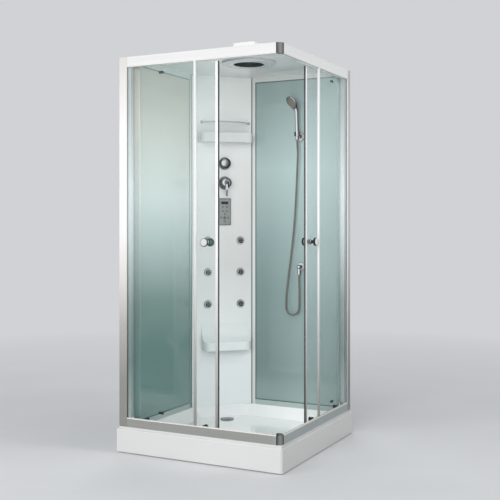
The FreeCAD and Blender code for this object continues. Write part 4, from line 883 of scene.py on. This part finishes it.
def make_door_knobs(finish):
    """Both halves of each door's knob, on either side of the glass."""
    for side in ("left", "right"):
        low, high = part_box(side + "_door_knob")
        middle = (low + high) / 2
        way = Vector((0, -1, 0)) if side == "left" else Vector((1, 0, 0))
        halves = []
        for name, sign in (("outer", 1), ("inner", -1)):
            profile = [
                (0.0045, -knob_start), (0.0145, 0.0), (0.015, 0.0008), (0.015, 0.0036), (0.0138, 0.0050),
                (0.0098, 0.0072), (0.0088, 0.011), (0.0090, 0.0155), (0.0112, 0.0198), (0.0168, 0.0230),
                (0.0212, 0.0250), (knob_radius, 0.0276), (knob_radius, 0.0338), (0.0216, 0.0363),
                (0.0197, 0.0381), (0.0168, 0.0393), (0.0120, 0.0399), (0.0060, knob_reach),
                (0.0, knob_reach),
            ]
            start = middle + way * (knob_start * sign)
            # The left knob's inner half gets its own darker painted reflection
            plate = finish["inner_knob" if (side, name) == ("left", "inner") else knob_finish[side]]
            halves.append(lathe("%s_knob_%s" % (side, name), start, way * sign, profile, plate, 64))
        for piece in halves:
            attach(piece, side + "_door")
        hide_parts(side + "_door_knob")


def make_diverter(finish):
    """The diverter's round grip, and a small dark mark on its upper slope that shows its turn."""
    low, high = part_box("diverter_knob")
    height = (low.z + high.z) / 2
    knob = lathe("diverter_grip", on_column(fitting_shift, diverter_out, height), out_way, [
        (0.0054, 0.001), (0.0205, 0.0), (0.0218, 0.0012), (0.0250, 0.0056), (0.0290, 0.0100),
        (0.0310, 0.0145), (0.0310, 0.0175), (0.0300, 0.0215), (0.0276, 0.0255), (0.0240, 0.0288),
        (0.0190, 0.0313), (0.0130, 0.0329), (0.0060, 0.0338), (0.0, 0.0340),
    ], finish["chrome"], 64)
    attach(knob, "diverter_knob")
    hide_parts("diverter_knob")
    place = on_column(fitting_shift, diverter_out + mark_rise, height + mark_rise)
    mark = lathe("diverter_mark", place, out_way + Vector((0, 0, 1)), [
        (0.0, -0.0012), (0.0016, -0.0012), (0.0016, 0.0), (0.0, 0.0004),
    ], finish["rubber"], 16)
    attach(mark, "diverter_knob")


def make_lever(finish):
    """The mixer's lever: a hub in the cap's slot and an arm that widens and bows outward as it hangs."""
    pivot = on_column(fitting_shift, lever_out, lever_height)
    hub = lathe("lever_hub", pivot - along_way * (hub_width / 2), along_way, [
        (0.0033, 0.0), (0.0068, 0.0), (0.0075, 0.0007), (0.0075, hub_width - 0.0007), (0.0068, hub_width),
        (0.0033, hub_width),
    ], finish["chrome"], 40)
    line = smooth_path([pivot + out_way * out - Vector((0, 0, drop)) for out, drop in lever_line], 10)
    centres = evenly(line, lever_step)[0]
    rings = []
    for index, centre in enumerate(centres):
        share = index / (len(centres) - 1)
        wide = lever_width + lever_swell * math.sin(math.pi * share)
        thick = lever_thickness - lever_taper * share
        rest = max(0.0, (share - lever_tip) / (1 - lever_tip))
        end = max(0.12, math.sqrt(max(0.0, 1 - rest ** 2)))
        ring = []
        for step in range(lever_sides):
            turn = 2 * math.pi * step / lever_sides
            x = math.copysign(abs(math.cos(turn)) ** 0.6, math.cos(turn))
            y = math.copysign(abs(math.sin(turn)) ** 0.8, math.sin(turn))
            ring.append(centre + along_way * (wide * end * x) + out_way * (thick * end * y))
        rings.append(ring)
    arm = rings_mesh("lever_arm", rings, finish["lever"], 60)
    for piece in (hub, arm):
        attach(piece, "mixer_lever")
    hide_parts("mixer_lever")


def make_jets(finish):
    """Six swivelling jets: a stepped ring on the column, and in it a ball nozzle with four small fins."""
    for index in range(1, 7):
        low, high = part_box("jet_nozzle_%d" % index)
        centre = (low + high) / 2
        along = (centre - on_column(0, 0, centre.z)).dot(along_way)
        ring = lathe("jet_ring_%d" % index, on_column(along, 0, centre.z), out_way, [
            (0.0, -0.0340), (0.0182, -0.0340), (0.0190, -0.0332), (0.0190, 0.0), (0.0258, 0.0),
            (0.0260, 0.0012), (0.0258, 0.0030), (0.0246, 0.0046), (0.0226, 0.0053), (0.0212, 0.0046),
            (0.0204, 0.0047), (0.0192, 0.0059), (0.0176, 0.0059), (0.0164, 0.0046), (0.0152, 0.0024),
            (0.0148, -0.0020), (0.0148, -0.0140), (0.0, -0.0140),
        ], finish["jet"], 64)
        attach(ring, "cabin")
        if index == 1:
            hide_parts("jet_bodies")
        spot = on_column(along, jet_ball_out, centre.z)
        arc = [math.radians(a) for a in range(-60, 61, 12)]
        profile = [(jet_ball * math.cos(a), jet_ball * math.sin(a)) for a in arc]
        profile = [(0.004, -jet_ball * 0.93)] + profile + [
            (0.0066, 0.0126), (0.0062, 0.0146), (0.0054, jet_reach), (0.0034, jet_reach), (0.0026, 0.0140),
            (0.0025, 0.004), (0.0, 0.004),
        ]
        nozzle = lathe("jet_ball_%d" % index, spot, out_way, profile, finish["nozzle"], 40)
        fins = []
        for step in range(4):
            turn = math.pi / 4 + math.pi * step / 2
            lean = along_way * math.cos(turn) + Vector((0, 0, 1)) * math.sin(turn)
            fins.append(spot + lean * fin_circle + out_way * fin_out)
        tips = studs("jet_fins_%d" % index, fins, out_way, 0.0022, 0.0016, finish["guard"])
        for piece in (nozzle, tips):
            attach(piece, "jet_nozzle_%d" % index)
        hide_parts("jet_nozzle_%d" % index)


def rounded_plate(name, centre, width, height, thick, corner, finish, segments=6):
    """A thin plate with round corners and a softened front edge, flat on the column's face."""
    rings = []
    for share, rise in ((0.0, 0.0), (0.0, 0.7), (1.0, 1.0)):
        ring = []
        soft = min(thick * 0.6, corner * 0.5) * share
        half_width = width / 2 - corner
        half_height = height / 2 - corner
        for quarter, (x, z) in enumerate(((1, 1), (-1, 1), (-1, -1), (1, -1))):
            for step in range(segments + 1):
                turn = math.pi / 2 * (quarter + step / segments)
                radius = corner - soft
                along = half_width * x + radius * math.cos(turn)
                up = half_height * z + radius * math.sin(turn)
                ring.append(centre + along_way * along + Vector((0, 0, up)) + out_way * (thick * rise))
        rings.append(ring)
    return rings_mesh(name, rings, finish, 30)


def make_keypad(finish):
    """The keypad's face: a film with a display window and raised keys, without any marks."""
    low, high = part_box("control_panel")

    def spot(out, drop, aside=0.0):
        return on_column(fitting_shift + aside, keypad_out + out, high.z - drop)

    tall = high.z - low.z
    plates = (
        ("film", spot(0.0, tall / 2), 0.0698, tall - keypad_margin, keypad_film, 0.0025, "panel_film"),
        ("display", spot(keypad_film, window_drop), 0.043, 0.015, 0.0008, 0.0015, "display"),
        ("display_rim", spot(key_out, window_drop), 0.047, 0.019, 0.0006, 0.0022, "panel"),
    )
    pieces = []
    for name, centre, width, height, thick, corner, look in plates:
        pieces.append(rounded_plate("keypad_" + name, centre, width, height, thick, corner, finish[look]))
    places = [(aside, drop) for drop in key_drops for aside in (-key_aside, key_aside)]
    for quarter in range(4):
        turn = math.pi / 2 * quarter
        places.append((ring_radius * math.cos(turn), ring_drop - ring_radius * math.sin(turn)))
    for number, (aside, drop) in enumerate(places):
        pieces.append(lathe("keypad_key_%d" % number, spot(key_out, drop, aside), out_way, [
            (0.0, 0.0), (0.0060, 0.0), (0.0060, 0.0007), (0.0055, 0.0010), (0.0046, 0.0008), (0.0, 0.0010),
        ], finish["key"], 32))
    pieces.append(lathe("keypad_key_centre", spot(key_out, ring_drop), out_way, [
        (0.0, 0.0), (0.0095, 0.0), (0.0095, 0.0006), (0.0088, 0.0009), (0.0, 0.0009),
    ], finish["key"], 40))
    for piece in pieces:
        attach(piece, "cabin")
    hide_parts("control_overlay")


def make_floor():
    """A pale floor that fades into the backdrop's colour away from the cabin."""
    nodes = Nodes("floor")
    shade = nodes.mix(nodes.span(nodes.noise(1.5), 0, 1), (214, 215, 216), (219, 220, 221))
    nodes.link(shade, nodes.shader.inputs["Base Color"])
    nodes.shader.inputs["Roughness"].default_value = 0.7
    distance = nodes.add("VectorMath", operation="LENGTH")
    nodes.link(nodes.place(), distance.inputs[0])
    glow = nodes.add("Emission")
    glow.inputs["Color"].default_value = tone(*backdrop)
    fade = nodes.add("MixShader")
    nodes.link(nodes.span(distance.outputs["Value"], 0, 1, fade_near, fade_far), fade.inputs["Fac"])
    nodes.link(nodes.shader.outputs["BSDF"], fade.inputs[1])
    nodes.link(glow.outputs["Emission"], fade.inputs[2])
    nodes.link(fade.outputs["Shader"], nodes.tree.nodes["Material Output"].inputs["Surface"])
    corners = [(x * floor_reach, y * floor_reach, 0) for x, y in ((-1, -1), (1, -1), (1, 1), (-1, 1))]
    ground = mesh_piece("ground", corners, [(0, 1, 2, 3)], nodes.material)


def make_world():
    """Soft light from all around, and the plain backdrop that the camera, metal and glass see."""
    world = bpy.data.worlds.new("studio")
    bpy.context.scene.world = world
    world.use_nodes = True
    tree = world.node_tree
    tree.nodes.clear()
    light = tree.nodes.new("ShaderNodeBackground")
    light.inputs["Color"].default_value = world_colour
    light.inputs["Strength"].default_value = world_strength
    shown = tree.nodes.new("ShaderNodeBackground")
    shown.inputs["Color"].default_value = tone(*backdrop)
    shown.inputs["Strength"].default_value = 1.0
    path = tree.nodes.new("ShaderNodeLightPath")
    mix = tree.nodes.new("ShaderNodeMixShader")
    output = tree.nodes.new("ShaderNodeOutputWorld")
    seen = path.outputs["Is Camera Ray"]
    for kind in ("Is Glossy Ray", "Is Transmission Ray"):
        either = tree.nodes.new("ShaderNodeMath")
        either.operation = "MAXIMUM"
        tree.links.new(seen, either.inputs[0])
        tree.links.new(path.outputs[kind], either.inputs[1])
        seen = either.outputs["Value"]
    tree.links.new(seen, mix.inputs["Fac"])
    tree.links.new(light.outputs["Background"], mix.inputs[1])
    tree.links.new(shown.outputs["Background"], mix.inputs[2])
    tree.links.new(mix.outputs["Shader"], output.inputs["Surface"])


def make_lamps():
    for name, place, target, wide, tall, watts in lamps:
        data = bpy.data.lights.new(name, "AREA")
        data.shape = "RECTANGLE"
        data.size = wide
        data.size_y = tall
        data.energy = watts
        lamp = bpy.data.objects.new(name, data)
        bpy.context.scene.collection.objects.link(lamp)
        lamp.location = place
        lamp.rotation_euler = (Vector(target) - Vector(place)).to_track_quat("-Z", "Y").to_euler()
        lamp.visible_glossy = False
        lamp.visible_camera = False


set_camera()
finish = make_finishes()
dress_nodes(finish)
make_hose(finish)
make_handset(finish)
make_door_knobs(finish)
make_diverter(finish)
make_lever(finish)
make_jets(finish)
make_keypad(finish)
make_floor()
make_world()
make_lamps()
bpy.context.scene.view_settings.view_transform = "Standard"
